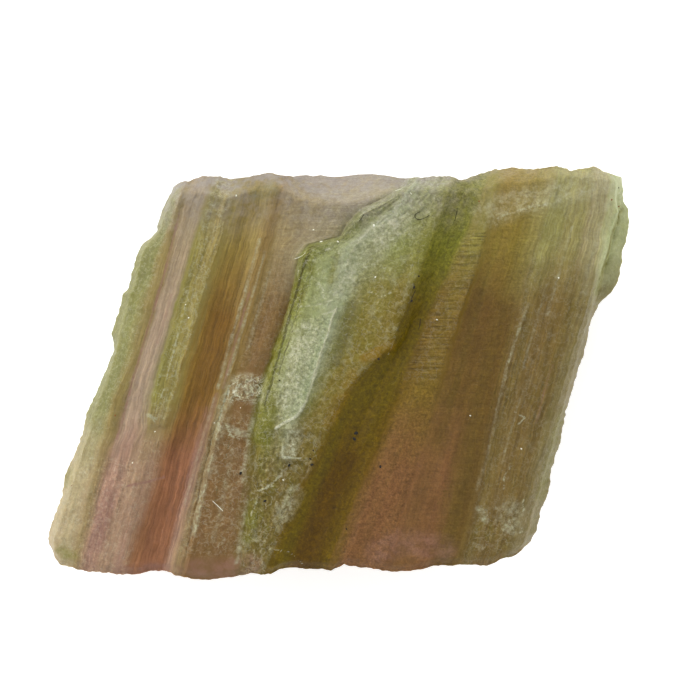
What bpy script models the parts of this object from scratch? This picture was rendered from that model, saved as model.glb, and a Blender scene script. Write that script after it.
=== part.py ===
"""A watermelon tourmaline crystal: one broken length of a striated prism, lying on its cleaved back.

Units are metres and +Z is up. The origin is the middle of the crystal's box, on the surface that it lies on.
The prism's own length leans from +Y towards +X, and the growth bands, flutes and ledges all follow it, so
places on the broad upper face are given across the prism: the distance from its middle line along X. The two
ends, at +Y and -Y, are fractures, and the left and right sides are what is left of the prism's own skin.
"""

import math

import bmesh
import bpy
import numpy as np
from mathutils import Vector, noise

MM = 0.001

# Driving dimensions, in millimetres
LEAN = math.tan(math.radians(16.2))
ROWS = 46
WALL_RINGS = 6

# The four sides of the outline seen from above: x and y. They meet at the corners.
LEFT_SIDE = (
    (-11.44, -7.25), (-11.64, -6.53), (-11.44, -5.85), (-11.18, -5.25), (-10.96, -4.45), (-10.96, -4.05),
    (-10.48, -3.05), (-10.20, -2.33), (-10.08, -1.53), (-9.72, -0.85), (-9.16, 0.47), (-8.94, 1.05),
    (-9.04, 1.63), (-8.80, 2.51), (-8.60, 3.19), (-8.36, 3.51), (-8.16, 4.40), (-7.92, 5.11),
    (-7.28, 5.71), (-7.04, 6.59), (-6.60, 7.47),
)
RIGHT_SIDE = (
    (7.68, -6.77), (7.92, -6.25), (8.12, -5.45), (8.44, -4.57), (8.52, -3.81), (8.78, -3.00),
    (9.00, -2.17), (9.12, -1.37), (9.36, -0.65), (9.56, 0.11), (9.84, 0.91), (10.00, 1.55),
    (10.08, 2.15), (10.48, 2.91), (10.96, 3.31), (11.20, 3.75), (11.36, 4.51), (11.36, 4.95),
    (11.56, 5.47), (11.64, 6.19), (11.60, 6.63), (11.40, 6.99), (11.32, 7.83),
)
TOP_SIDE = (
    (-6.60, 7.47), (-6.32, 7.65), (-5.92, 7.71), (-5.55, 7.86), (-5.00, 7.87), (-4.04, 7.75),
    (-2.72, 7.99), (-1.92, 7.87), (-0.88, 7.93), (-0.04, 7.83), (0.72, 7.93), (1.60, 7.93),
    (2.40, 7.79), (3.32, 7.79), (4.40, 7.84), (4.88, 7.67), (5.68, 7.95), (6.12, 8.11),
    (6.96, 8.19), (7.68, 8.13), (8.70, 8.25), (9.28, 8.07), (10.20, 8.23), (10.68, 8.01), (11.32, 7.83),
)
BOTTOM_SIDE = (
    (-11.44, -7.25), (-11.12, -7.69), (-10.24, -7.89), (-9.52, -7.97), (-8.72, -8.07), (-7.96, -8.05),
    (-7.52, -7.91), (-7.00, -7.91), (-5.68, -8.25), (-5.12, -8.25), (-3.52, -8.01), (-2.72, -8.03),
    (-2.32, -7.83), (-1.92, -7.77), (-0.32, -7.87), (0.20, -7.63), (1.32, -7.81), (2.16, -7.93),
    (3.28, -7.83), (4.00, -7.65), (5.88, -7.71), (6.68, -7.37), (7.04, -7.33), (7.68, -6.77),
)

# Where the sloping fracture along the top end begins, as x and y, and how steeply it falls from there
TOP_BEVEL_LINE = (
    (-6.6, 6.95), (-5.5, 7.19), (-4.3, 7.00), (-3.3, 7.30), (-2.2, 7.30), (-1.5, 6.80), (0.3, 6.70),
    (1.9, 7.10), (3.3, 7.25), (4.9, 7.20), (6.9, 7.60), (9.3, 7.85), (11.3, 7.60),
)
TOP_BEVEL_SLOPE = 1.6
# The shallow shell-shaped scoop below it at the right
SCOOP_LINE = ((4.9, 8.0), (5.9, 6.25), (6.8, 6.27), (8.0, 6.71), (9.3, 6.99), (10.7, 7.23), (11.4, 7.6))
SCOOP_SLOPE = 0.3
# The worn edge along the bottom end: how far in it begins and how much it falls
BOTTOM_BEVEL_WIDTH = 0.35
BOTTOM_BEVEL_DROP = 0.55

# Roughness of the broken face, longer along the prism than across it
FACE_ROUGHNESS = 0.09
CRUST_ROUGHNESS = 0.16

# How far the walls step in on their way down, as shares of the crystal's half width and half length:
# the share of the way down, the step in of the two sides, the step in of the two ends
WALL_PROFILE = ((0.0, 0.0, 0.0), (0.3, 0.006, 0.02), (0.62, 0.035, 0.05), (1.0, 0.13, 0.10))
WALL_ROUGHNESS = 0.012


class Edge:
    """An edge that runs the length of the broad face: how far across the prism it lies and how high.

    Both are one value or pairs of y and value. Columns is the number of strips of faces that lead up to it
    from the edge before.
    """

    def __init__(self, across, height, columns=1):
        self.across = across
        self.height = height
        self.columns = columns


def followed(pairs, y):
    """One value, or the value that its pairs give at y."""
    if isinstance(pairs, float):
        return pairs
    return float(np.interp(y, [pair[0] for pair in pairs], [pair[1] for pair in pairs]))


def side_across(side):
    """A side of the outline as pairs of y and distance across the prism."""
    return [(y, x - y * LEAN) for x, y in side]


LEFT_SKIN = Edge(side_across(LEFT_SIDE), ((-8.0, 3.0), (-3.0, 3.4), (4.0, 3.4), (8.0, 3.1)))
LEFT_SHOULDER = Edge(
    ((-8.0, -9.0), (-6.5, -9.4), (0.5, -9.1), (5.0, -9.15), (5.8, -8.75), (8.0, -8.6)),
    ((-8.0, 4.1), (0.0, 4.5), (8.0, 4.2)),
    columns=2,
)
RIM_LINE = Edge(
    ((-8.0, -8.3), (-5.0, -8.55), (-1.0, -8.6), (1.0, -8.4), (8.0, -8.33)),
    ((-8.0, 4.7), (0.0, 5.05), (8.0, 4.8)),
    columns=3,
)
# The narrow yellow-green strip, which stops at a blunt end
STRIP_LEFT_FOOT = Edge(
    ((-8.0, -7.0), (-2.0, -7.05), (-0.6, -7.25), (8.0, -7.32)), ((-8.0, 5.0), (0.0, 5.25), (8.0, 5.1)), columns=4
)
STRIP_LEFT_EDGE = Edge(
    ((-8.0, -6.85), (-2.0, -6.9), (-0.6, -7.1), (8.0, -7.17)),
    ((-8.0, 5.05), (-2.15, 5.2), (-1.95, 5.33), (5.0, 5.3), (8.0, 5.12)),
)
STRIP_RIGHT_EDGE = Edge(-6.25, ((-8.0, 5.05), (-2.15, 5.2), (-1.95, 5.33), (5.0, 5.28), (8.0, 5.12)), columns=3)
STRIP_RIGHT_FOOT = Edge(-6.1, ((-8.0, 5.05), (0.0, 5.25), (8.0, 5.1)))
BROWN_HOLLOW = Edge(
    ((-8.0, -5.1), (-3.0, -5.35), (8.0, -5.5)), ((-8.0, 4.95), (0.0, 5.15), (8.0, 5.05)), columns=2
)
STRIATED_RIB = Edge(
    ((-8.0, -4.35), (-2.5, -4.42), (8.0, -4.5)), ((-8.0, 5.25), (0.0, 5.4), (8.0, 5.3)), columns=3
)
# The crusted plate beside the lower half of the green ledge
CRUST_FOOT = Edge(
    ((-8.0, -3.9), (-5.0, -4.1), (-2.8, -4.25), (-1.0, -4.2), (-0.2, -4.1), (8.0, -4.1)),
    ((-8.0, 5.2), (0.0, 5.4), (8.0, 5.25)),
)
CRUST_EDGE = Edge(
    ((-8.0, -3.75), (-5.0, -3.92), (-2.8, -4.05), (-1.0, -4.0), (-0.2, -3.85), (8.0, -3.85)),
    ((-8.0, 5.3), (-6.6, 5.45), (-2.0, 5.65), (-0.2, 5.6), (0.1, 5.42), (8.0, 5.25)),
)
# The green ledge left standing along the middle: its upper end is cut off at a slant
LEDGE_FOOT = Edge(
    (
        (-8.0, -1.6), (-5.0, -2.06), (-3.8, -2.25), (-2.2, -2.65), (-0.9, -2.84), (2.8, -2.78), (4.7, -2.9),
        (5.2, -2.65), (5.5, -1.5), (6.0, -1.4), (6.6, -1.05), (6.9, -0.4), (7.2, 0.0), (7.5, 0.3), (8.0, 0.5),
    ),
    ((-8.0, 5.4), (-4.0, 5.65), (-1.0, 5.6), (0.0, 5.5), (8.0, 5.35)),
    columns=4,
)
LEDGE_EDGE = Edge(
    (
        (-8.0, -1.3), (-5.0, -1.82), (-3.8, -2.05), (-2.2, -2.45), (-0.9, -2.66), (2.8, -2.6), (4.6, -2.7),
        (5.0, -2.4), (5.35, -1.4), (5.8, -1.2), (6.4, -0.85), (6.75, -0.2), (7.0, 0.2), (7.4, 0.5), (8.0, 0.7),
    ),
    ((-8.0, 5.5), (-5.5, 5.8), (-3.0, 5.95), (4.7, 6.0), (6.8, 5.95), (8.0, 5.8)),
)
FLAKE_EDGE = Edge(
    (
        (-8.0, -0.95), (-5.0, -1.4), (-2.4, -1.9), (-1.0, -2.15), (2.6, -2.05), (4.6, -2.1), (5.4, -1.1),
        (7.0, 0.4), (8.0, 0.9),
    ),
    ((-8.0, 5.6), (-5.5, 5.9), (-2.3, 6.05), (-2.1, 6.2), (2.5, 6.25), (3.2, 6.15), (8.0, 5.9)),
    columns=2,
)
FLAKE_RIDGE = Edge(
    (
        (-8.0, -0.75), (-5.0, -1.1), (-2.1, -1.3), (-1.0, -0.98), (2.6, -0.84), (4.3, -0.74), (5.0, -0.9),
        (5.8, -0.2), (6.4, 0.43), (7.4, 0.8), (8.0, 1.1),
    ),
    ((-8.0, 5.7), (-5.5, 6.0), (-2.35, 6.1), (-2.15, 6.4), (2.5, 6.45), (6.0, 6.4), (8.0, 6.0)),
    columns=3,
)
CREST = Edge(
    (
        (-8.0, -0.6), (-5.0, -0.34), (-3.6, 0.05), (-2.6, 0.24), (-1.0, 0.37), (0.1, 0.93), (1.2, 1.8),
        (2.3, 1.9), (5.6, 2.06), (8.0, 2.3),
    ),
    ((-8.0, 5.7), (-5.5, 6.0), (-3.0, 6.15), (0.0, 6.25), (6.0, 6.25), (8.0, 6.05)),
    columns=4,
)
# The glassy dark green flank falls from the crest to the valley
VALLEY = Edge(
    (
        (-8.0, 0.95), (-5.4, 1.05), (-3.6, 1.2), (-1.8, 1.5), (0.2, 1.9), (2.6, 2.5), (4.2, 2.6),
        (6.0, 2.8), (8.0, 3.0),
    ),
    ((-8.0, 5.45), (-3.0, 5.75), (6.0, 5.9), (8.0, 5.75)),
    columns=3,
)
FLANK_FOOT = Edge(
    (
        (-8.0, 1.85), (-5.4, 2.05), (-3.6, 2.33), (-1.8, 2.52), (0.2, 2.74), (2.6, 2.93), (4.0, 3.2),
        (6.0, 3.54), (8.0, 3.7),
    ),
    ((-8.0, 5.5), (-3.0, 5.8), (0.0, 5.95), (6.0, 6.0), (8.0, 5.8)),
    columns=3,
)
FACET_EDGE = Edge(
    ((-8.0, 3.9), (1.4, 4.08), (4.6, 4.27), (8.0, 4.1)),
    ((-8.0, 5.6), (-3.0, 5.8), (0.0, 5.9), (3.0, 6.05), (6.0, 6.0), (8.0, 5.8)),
    columns=3,
)
FACET_FOOT = Edge(
    ((-8.0, 4.1), (1.4, 4.25), (4.6, 4.45), (8.0, 4.3)), ((-8.0, 5.6), (0.0, 5.84), (6.0, 5.9), (8.0, 5.75))
)
# The long plate near the right side, and the shallow trough beyond it
PLATE_EDGE = Edge(
    ((-8.0, 7.1), (-5.0, 6.94), (-2.6, 6.7), (-0.2, 6.54), (3.0, 6.33), (8.0, 6.3)),
    ((-8.0, 5.4), (0.0, 5.7), (6.0, 5.7), (8.0, 5.6)),
    columns=5,
)
TROUGH = Edge(
    ((-8.0, 7.3), (-5.0, 7.14), (-2.6, 6.9), (-0.2, 6.74), (3.0, 6.53), (8.0, 6.5)),
    ((-8.0, 5.35), (-5.0, 5.4), (-4.6, 5.35), (0.0, 5.57), (4.0, 5.66), (8.0, 5.58)),
)
BAND_LINE = Edge(
    ((-8.0, 8.9), (-4.6, 9.0), (3.4, 9.1), (7.0, 8.75), (8.0, 8.5)), ((-8.0, 4.9), (0.0, 5.3), (8.0, 5.3)), columns=4
)
RIGHT_SHOULDER = Edge(
    ((-8.0, 9.35), (3.0, 9.28), (6.5, 9.2), (7.2, 8.9), (8.0, 8.7)), ((-8.0, 4.45), (0.0, 4.9), (8.0, 4.95))
)
# Below the shoulder a short shelf of green rim stands out at the upper right
SHELF_FOOT = Edge(
    ((-8.0, 9.5), (2.1, 9.36), (3.0, 9.45), (5.0, 9.42), (6.4, 9.34), (7.1, 9.05), (8.0, 8.85)),
    ((-8.0, 3.95), (2.2, 4.35), (3.0, 3.8), (6.6, 3.9), (7.3, 4.4), (8.0, 4.4)),
)
RIGHT_SKIN = Edge(
    side_across(RIGHT_SIDE), ((-8.0, 3.4), (2.2, 3.7), (3.0, 3.4), (6.6, 3.5), (7.3, 3.8), (8.0, 3.6)), columns=2
)

EDGES = (
    LEFT_SKIN, LEFT_SHOULDER, RIM_LINE, STRIP_LEFT_FOOT, STRIP_LEFT_EDGE, STRIP_RIGHT_EDGE, STRIP_RIGHT_FOOT,
    BROWN_HOLLOW, STRIATED_RIB, CRUST_FOOT, CRUST_EDGE, LEDGE_FOOT, LEDGE_EDGE, FLAKE_EDGE, FLAKE_RIDGE, CREST,
    VALLEY, FLANK_FOOT, FACET_EDGE, FACET_FOOT, PLATE_EDGE, TROUGH, BAND_LINE, RIGHT_SHOULDER, SHELF_FOOT,
    RIGHT_SKIN,
)
STATIONS = np.cumsum([0] + [edge.columns for edge in EDGES[1:]])
COLUMNS = int(STATIONS[-1])


def smooth_step(value):
    """0 below 0, 1 above 1, and an even curve between them."""
    held = min(max(value, 0.0), 1.0)
    return held * held * (3 - 2 * held)


def column_across(column, y):
    """How far across the prism a column of the grid lies at y."""
    return float(np.interp(column, STATIONS, [followed(edge.across, y) for edge in EDGES]))


def column_height(column, y):
    """How high the broad face stands there, before its ends are worn down."""
    return float(np.interp(column, STATIONS, [followed(edge.height, y) for edge in EDGES]))


def column_end(column, side):
    """The y at which a column meets the top or the bottom side of the outline."""
    xs = [point[0] for point in side]
    ys = [point[1] for point in side]
    y = ys[len(ys) // 2]
    for _ in range(12):
        y = float(np.interp(column_across(column, y) + y * LEAN, xs, ys))
    return y


def face_height(x, y, column, from_bottom):
    """Height of the broad face above the surface that the crystal lies on."""
    height = column_height(column, y)
    top_fall = max(y - float(np.interp(x, *zip(*TOP_BEVEL_LINE))), 0.0)
    height -= TOP_BEVEL_SLOPE * top_fall
    if x > SCOOP_LINE[0][0]:
        height -= SCOOP_SLOPE * max(y - float(np.interp(x, *zip(*SCOOP_LINE))), 0.0)
    height -= BOTTOM_BEVEL_DROP * (1 - smooth_step(from_bottom / BOTTOM_BEVEL_WIDTH))

    across = x - y * LEAN
    height += FACE_ROUGHNESS * noise.noise(Vector((across * 1.4, y * 0.4, 7.0)))
    crusted = smooth_step((across + 4.1) / 0.3) * smooth_step((-2.2 - across) / 0.3) * smooth_step(0.2 - y)
    height += CRUST_ROUGHNESS * crusted * noise.noise(Vector((across * 3, y * 2, 15.0)))
    return height


def wall_place(across, y, rim_height, down):
    """A point of the walls below the outline's point there: down is 0 at the outline and 1 on the underside."""
    shares, side_steps, end_steps = zip(*WALL_PROFILE)
    side_step = float(np.interp(down, shares, side_steps))
    end_step = float(np.interp(down, shares, end_steps))
    rough = WALL_ROUGHNESS * (1 + noise.noise(Vector((across * 0.5, y * 0.5, 5 * down))))
    inner_across = across * (1 - side_step - rough)
    inner_y = y * (1 - end_step - rough)
    return Vector((inner_across + inner_y * LEAN, inner_y, rim_height * (1 - down)))


def crystal_material():
    """Translucent green and rose tourmaline, as one even colour."""
    material = bpy.data.materials.new("tourmaline")
    material.use_nodes = True
    shader = material.node_tree.nodes["Principled BSDF"]
    shader.inputs["Base Color"].default_value = (0.36, 0.29, 0.13, 1.0)
    shader.inputs["Roughness"].default_value = 0.35
    shader.inputs["Metallic"].default_value = 0.0
    shader.inputs["IOR"].default_value = 1.63
    shader.inputs["Transmission Weight"].default_value = 0.3
    material.diffuse_color = (0.36, 0.29, 0.13, 1.0)
    return material


def build_crystal():
    """The whole crystal as one closed solid."""
    mesh = bmesh.new()
    across_layer = mesh.verts.layers.float.new("across")
    y_layer = mesh.verts.layers.float.new("y")
    rim_layer = mesh.verts.layers.float.new("rim_height")
    bottoms = [column_end(column, BOTTOM_SIDE) for column in range(COLUMNS + 1)]
    tops = [column_end(column, TOP_SIDE) for column in range(COLUMNS + 1)]

    # The broad face is a grid whose columns follow its edges
    bmesh.ops.create_grid(mesh, x_segments=COLUMNS, y_segments=ROWS, size=1.0)
    for vertex in mesh.verts:
        column = round((vertex.co.x + 1) / 2 * COLUMNS)
        up = (vertex.co.y + 1) / 2
        y = bottoms[column] + up * (tops[column] - bottoms[column])
        across = column_across(column, y)
        height = face_height(across + y * LEAN, y, column, y - bottoms[column])
        vertex[across_layer] = across
        vertex[y_layer] = y
        vertex[rim_layer] = height
        vertex.co = Vector((across + y * LEAN, y, height)) * MM

    # The walls are drawn down ring by ring from the outline to the underside
    ring = [edge for edge in mesh.edges if edge.is_boundary]
    for number in range(1, WALL_RINGS + 1):
        drawn = bmesh.ops.extrude_edge_only(mesh, edges=ring)["geom"]
        ring = [item for item in drawn if isinstance(item, bmesh.types.BMEdge)]
        for vertex in (item for item in drawn if isinstance(item, bmesh.types.BMVert)):
            place = wall_place(vertex[across_layer], vertex[y_layer], vertex[rim_layer], number / WALL_RINGS)
            vertex.co = place * MM

    bmesh.ops.contextual_create(mesh, geom=ring)
    bmesh.ops.recalc_face_normals(mesh, faces=mesh.faces)
    data = bpy.data.meshes.new("tourmaline_crystal")
    mesh.to_mesh(data)
    mesh.free()
    data.shade_smooth()
    data.set_sharp_from_angle(angle=math.radians(14))
    crystal = bpy.data.objects.new("tourmaline_crystal", data)
    bpy.context.scene.collection.objects.link(crystal)
    crystal.data.materials.append(crystal_material())
    return crystal


def main():
    for leftover in list(bpy.data.objects):
        bpy.data.objects.remove(leftover)
    build_crystal()


main()
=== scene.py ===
"""The look of a watermelon tourmaline crystal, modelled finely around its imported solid.

Lengths in the tables are millimetres, and the meshes are metres. Places on the broad face are given across
the prism, which is the distance from its middle line along X, and as y. The prism's length leans from +Y
towards +X, and every growth band, flute and ledge follows it.
"""

import logging
import math
from collections.abc import Callable, Sequence
from dataclasses import dataclass, field
from enum import IntEnum, auto

import bmesh
import bpy
import numpy as np
from mathutils import Matrix, Vector, noise
from mathutils.bvhtree import BVHTree

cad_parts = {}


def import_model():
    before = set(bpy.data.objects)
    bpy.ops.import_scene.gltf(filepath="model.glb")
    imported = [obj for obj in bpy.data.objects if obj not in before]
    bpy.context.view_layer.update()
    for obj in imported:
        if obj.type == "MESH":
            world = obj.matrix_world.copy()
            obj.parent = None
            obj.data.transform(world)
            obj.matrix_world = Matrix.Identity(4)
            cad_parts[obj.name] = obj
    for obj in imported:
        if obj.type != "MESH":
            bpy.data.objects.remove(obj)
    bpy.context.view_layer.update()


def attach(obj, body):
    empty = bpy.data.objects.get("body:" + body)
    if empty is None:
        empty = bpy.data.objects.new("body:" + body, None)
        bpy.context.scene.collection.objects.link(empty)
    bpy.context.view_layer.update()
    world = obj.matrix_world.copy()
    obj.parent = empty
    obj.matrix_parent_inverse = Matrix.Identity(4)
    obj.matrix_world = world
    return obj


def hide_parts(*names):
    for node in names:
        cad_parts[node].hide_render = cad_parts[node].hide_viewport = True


LOG = logging.getLogger("tourmaline")
MM = 0.001
LEAN = math.tan(math.radians(16.2))

Pairs = Sequence[tuple[float, float]]
Colour = tuple[float, float, float]
Bands = Sequence[tuple[float, Colour]]
Socket = bpy.types.NodeSocket
Link = Socket | float | Colour

# The four sides of the outline seen from above: x and y. They meet at the corners.
LEFT_SIDE: Pairs = (
    (-11.44, -7.25), (-11.64, -6.53), (-11.44, -5.85), (-11.18, -5.25), (-10.96, -4.45), (-10.96, -4.05),
    (-10.48, -3.05), (-10.20, -2.33), (-10.08, -1.53), (-9.72, -0.85), (-9.16, 0.47), (-8.94, 1.05),
    (-9.04, 1.63), (-8.80, 2.51), (-8.60, 3.19), (-8.36, 3.51), (-8.16, 4.40), (-7.92, 5.11),
    (-7.28, 5.71), (-7.04, 6.59), (-6.60, 7.47),
)
RIGHT_SIDE: Pairs = (
    (7.68, -6.77), (7.92, -6.25), (8.12, -5.45), (8.44, -4.57), (8.52, -3.81), (8.78, -3.00),
    (9.00, -2.17), (9.12, -1.37), (9.36, -0.65), (9.56, 0.11), (9.84, 0.91), (10.00, 1.55),
    (10.08, 2.15), (10.48, 2.91), (10.96, 3.31), (11.20, 3.75), (11.36, 4.51), (11.36, 4.95),
    (11.56, 5.47), (11.64, 6.19), (11.60, 6.63), (11.40, 6.99), (11.32, 7.83),
)
TOP_SIDE: Pairs = (
    (-6.60, 7.47), (-6.32, 7.65), (-5.92, 7.71), (-5.55, 7.86), (-5.00, 7.87), (-4.04, 7.75),
    (-2.72, 7.99), (-1.92, 7.87), (-0.88, 7.93), (-0.04, 7.83), (0.72, 7.93), (1.60, 7.93),
    (2.40, 7.79), (3.32, 7.79), (4.40, 7.84), (4.88, 7.67), (5.68, 7.95), (6.12, 8.11),
    (6.96, 8.19), (7.68, 8.13), (8.70, 8.25), (9.28, 8.07), (10.20, 8.23), (10.68, 8.01), (11.32, 7.83),
)
BOTTOM_SIDE: Pairs = (
    (-11.44, -7.25), (-11.12, -7.69), (-10.24, -7.89), (-9.52, -7.97), (-8.72, -8.07), (-7.96, -8.05),
    (-7.52, -7.91), (-7.00, -7.91), (-5.68, -8.25), (-5.12, -8.25), (-3.52, -8.01), (-2.72, -8.03),
    (-2.32, -7.83), (-1.92, -7.77), (-0.32, -7.87), (0.20, -7.63), (1.32, -7.81), (2.16, -7.93),
    (3.28, -7.83), (4.00, -7.65), (5.88, -7.71), (6.68, -7.37), (7.04, -7.33), (7.68, -6.77),
)

# Where the sloping fracture along the top end begins, and the shell-shaped scoop below it at the right
TOP_BEVEL_LINE: Pairs = (
    (-6.6, 6.95), (-5.5, 7.19), (-4.3, 7.00), (-3.3, 7.30), (-2.2, 7.30), (-1.5, 6.80), (0.3, 6.70),
    (1.9, 7.10), (3.3, 7.25), (4.9, 7.20), (6.9, 7.60), (9.3, 7.85), (11.3, 7.60),
)
SCOOP_LINE: Pairs = (
    (4.9, 8.0), (5.9, 6.25), (6.8, 6.27), (8.0, 6.71), (9.3, 6.99), (10.7, 7.23), (11.4, 7.6),
)


class Line(IntEnum):
    """The edges that run the length of the broad face, from left to right."""

    LEFT_SKIN = 0
    LEFT_SHOULDER = auto()
    RIM_LINE = auto()
    STRIP_LEFT_FOOT = auto()
    STRIP_LEFT_EDGE = auto()
    STRIP_RIGHT_EDGE = auto()
    STRIP_RIGHT_FOOT = auto()
    BROWN_HOLLOW = auto()
    STRIATED_RIB = auto()
    CRUST_FOOT = auto()
    CRUST_EDGE = auto()
    LEDGE_FOOT = auto()
    LEDGE_EDGE = auto()
    FLAKE_EDGE = auto()
    FLAKE_RIDGE = auto()
    CREST = auto()
    VALLEY = auto()
    FLANK_FOOT = auto()
    FACET_EDGE = auto()
    FACET_FOOT = auto()
    PLATE_EDGE = auto()
    TROUGH = auto()
    BAND_LINE = auto()
    RIGHT_SHOULDER = auto()
    SHELF_FOOT = auto()
    RIGHT_SKIN = auto()


def side_across(side: Pairs) -> Pairs:
    """Gives a side of the outline as pairs of y and distance across the prism.

    Args:
        side: The side as pairs of x and y.

    Returns:
        Pairs of y and distance across.
    """
    return tuple((y, x - y * LEAN) for x, y in side)


@dataclass(frozen=True)
class Edge:
    """How far across the prism an edge lies and how high it stands, each as pairs of y and value."""

    across: Pairs
    height: Pairs


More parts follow.
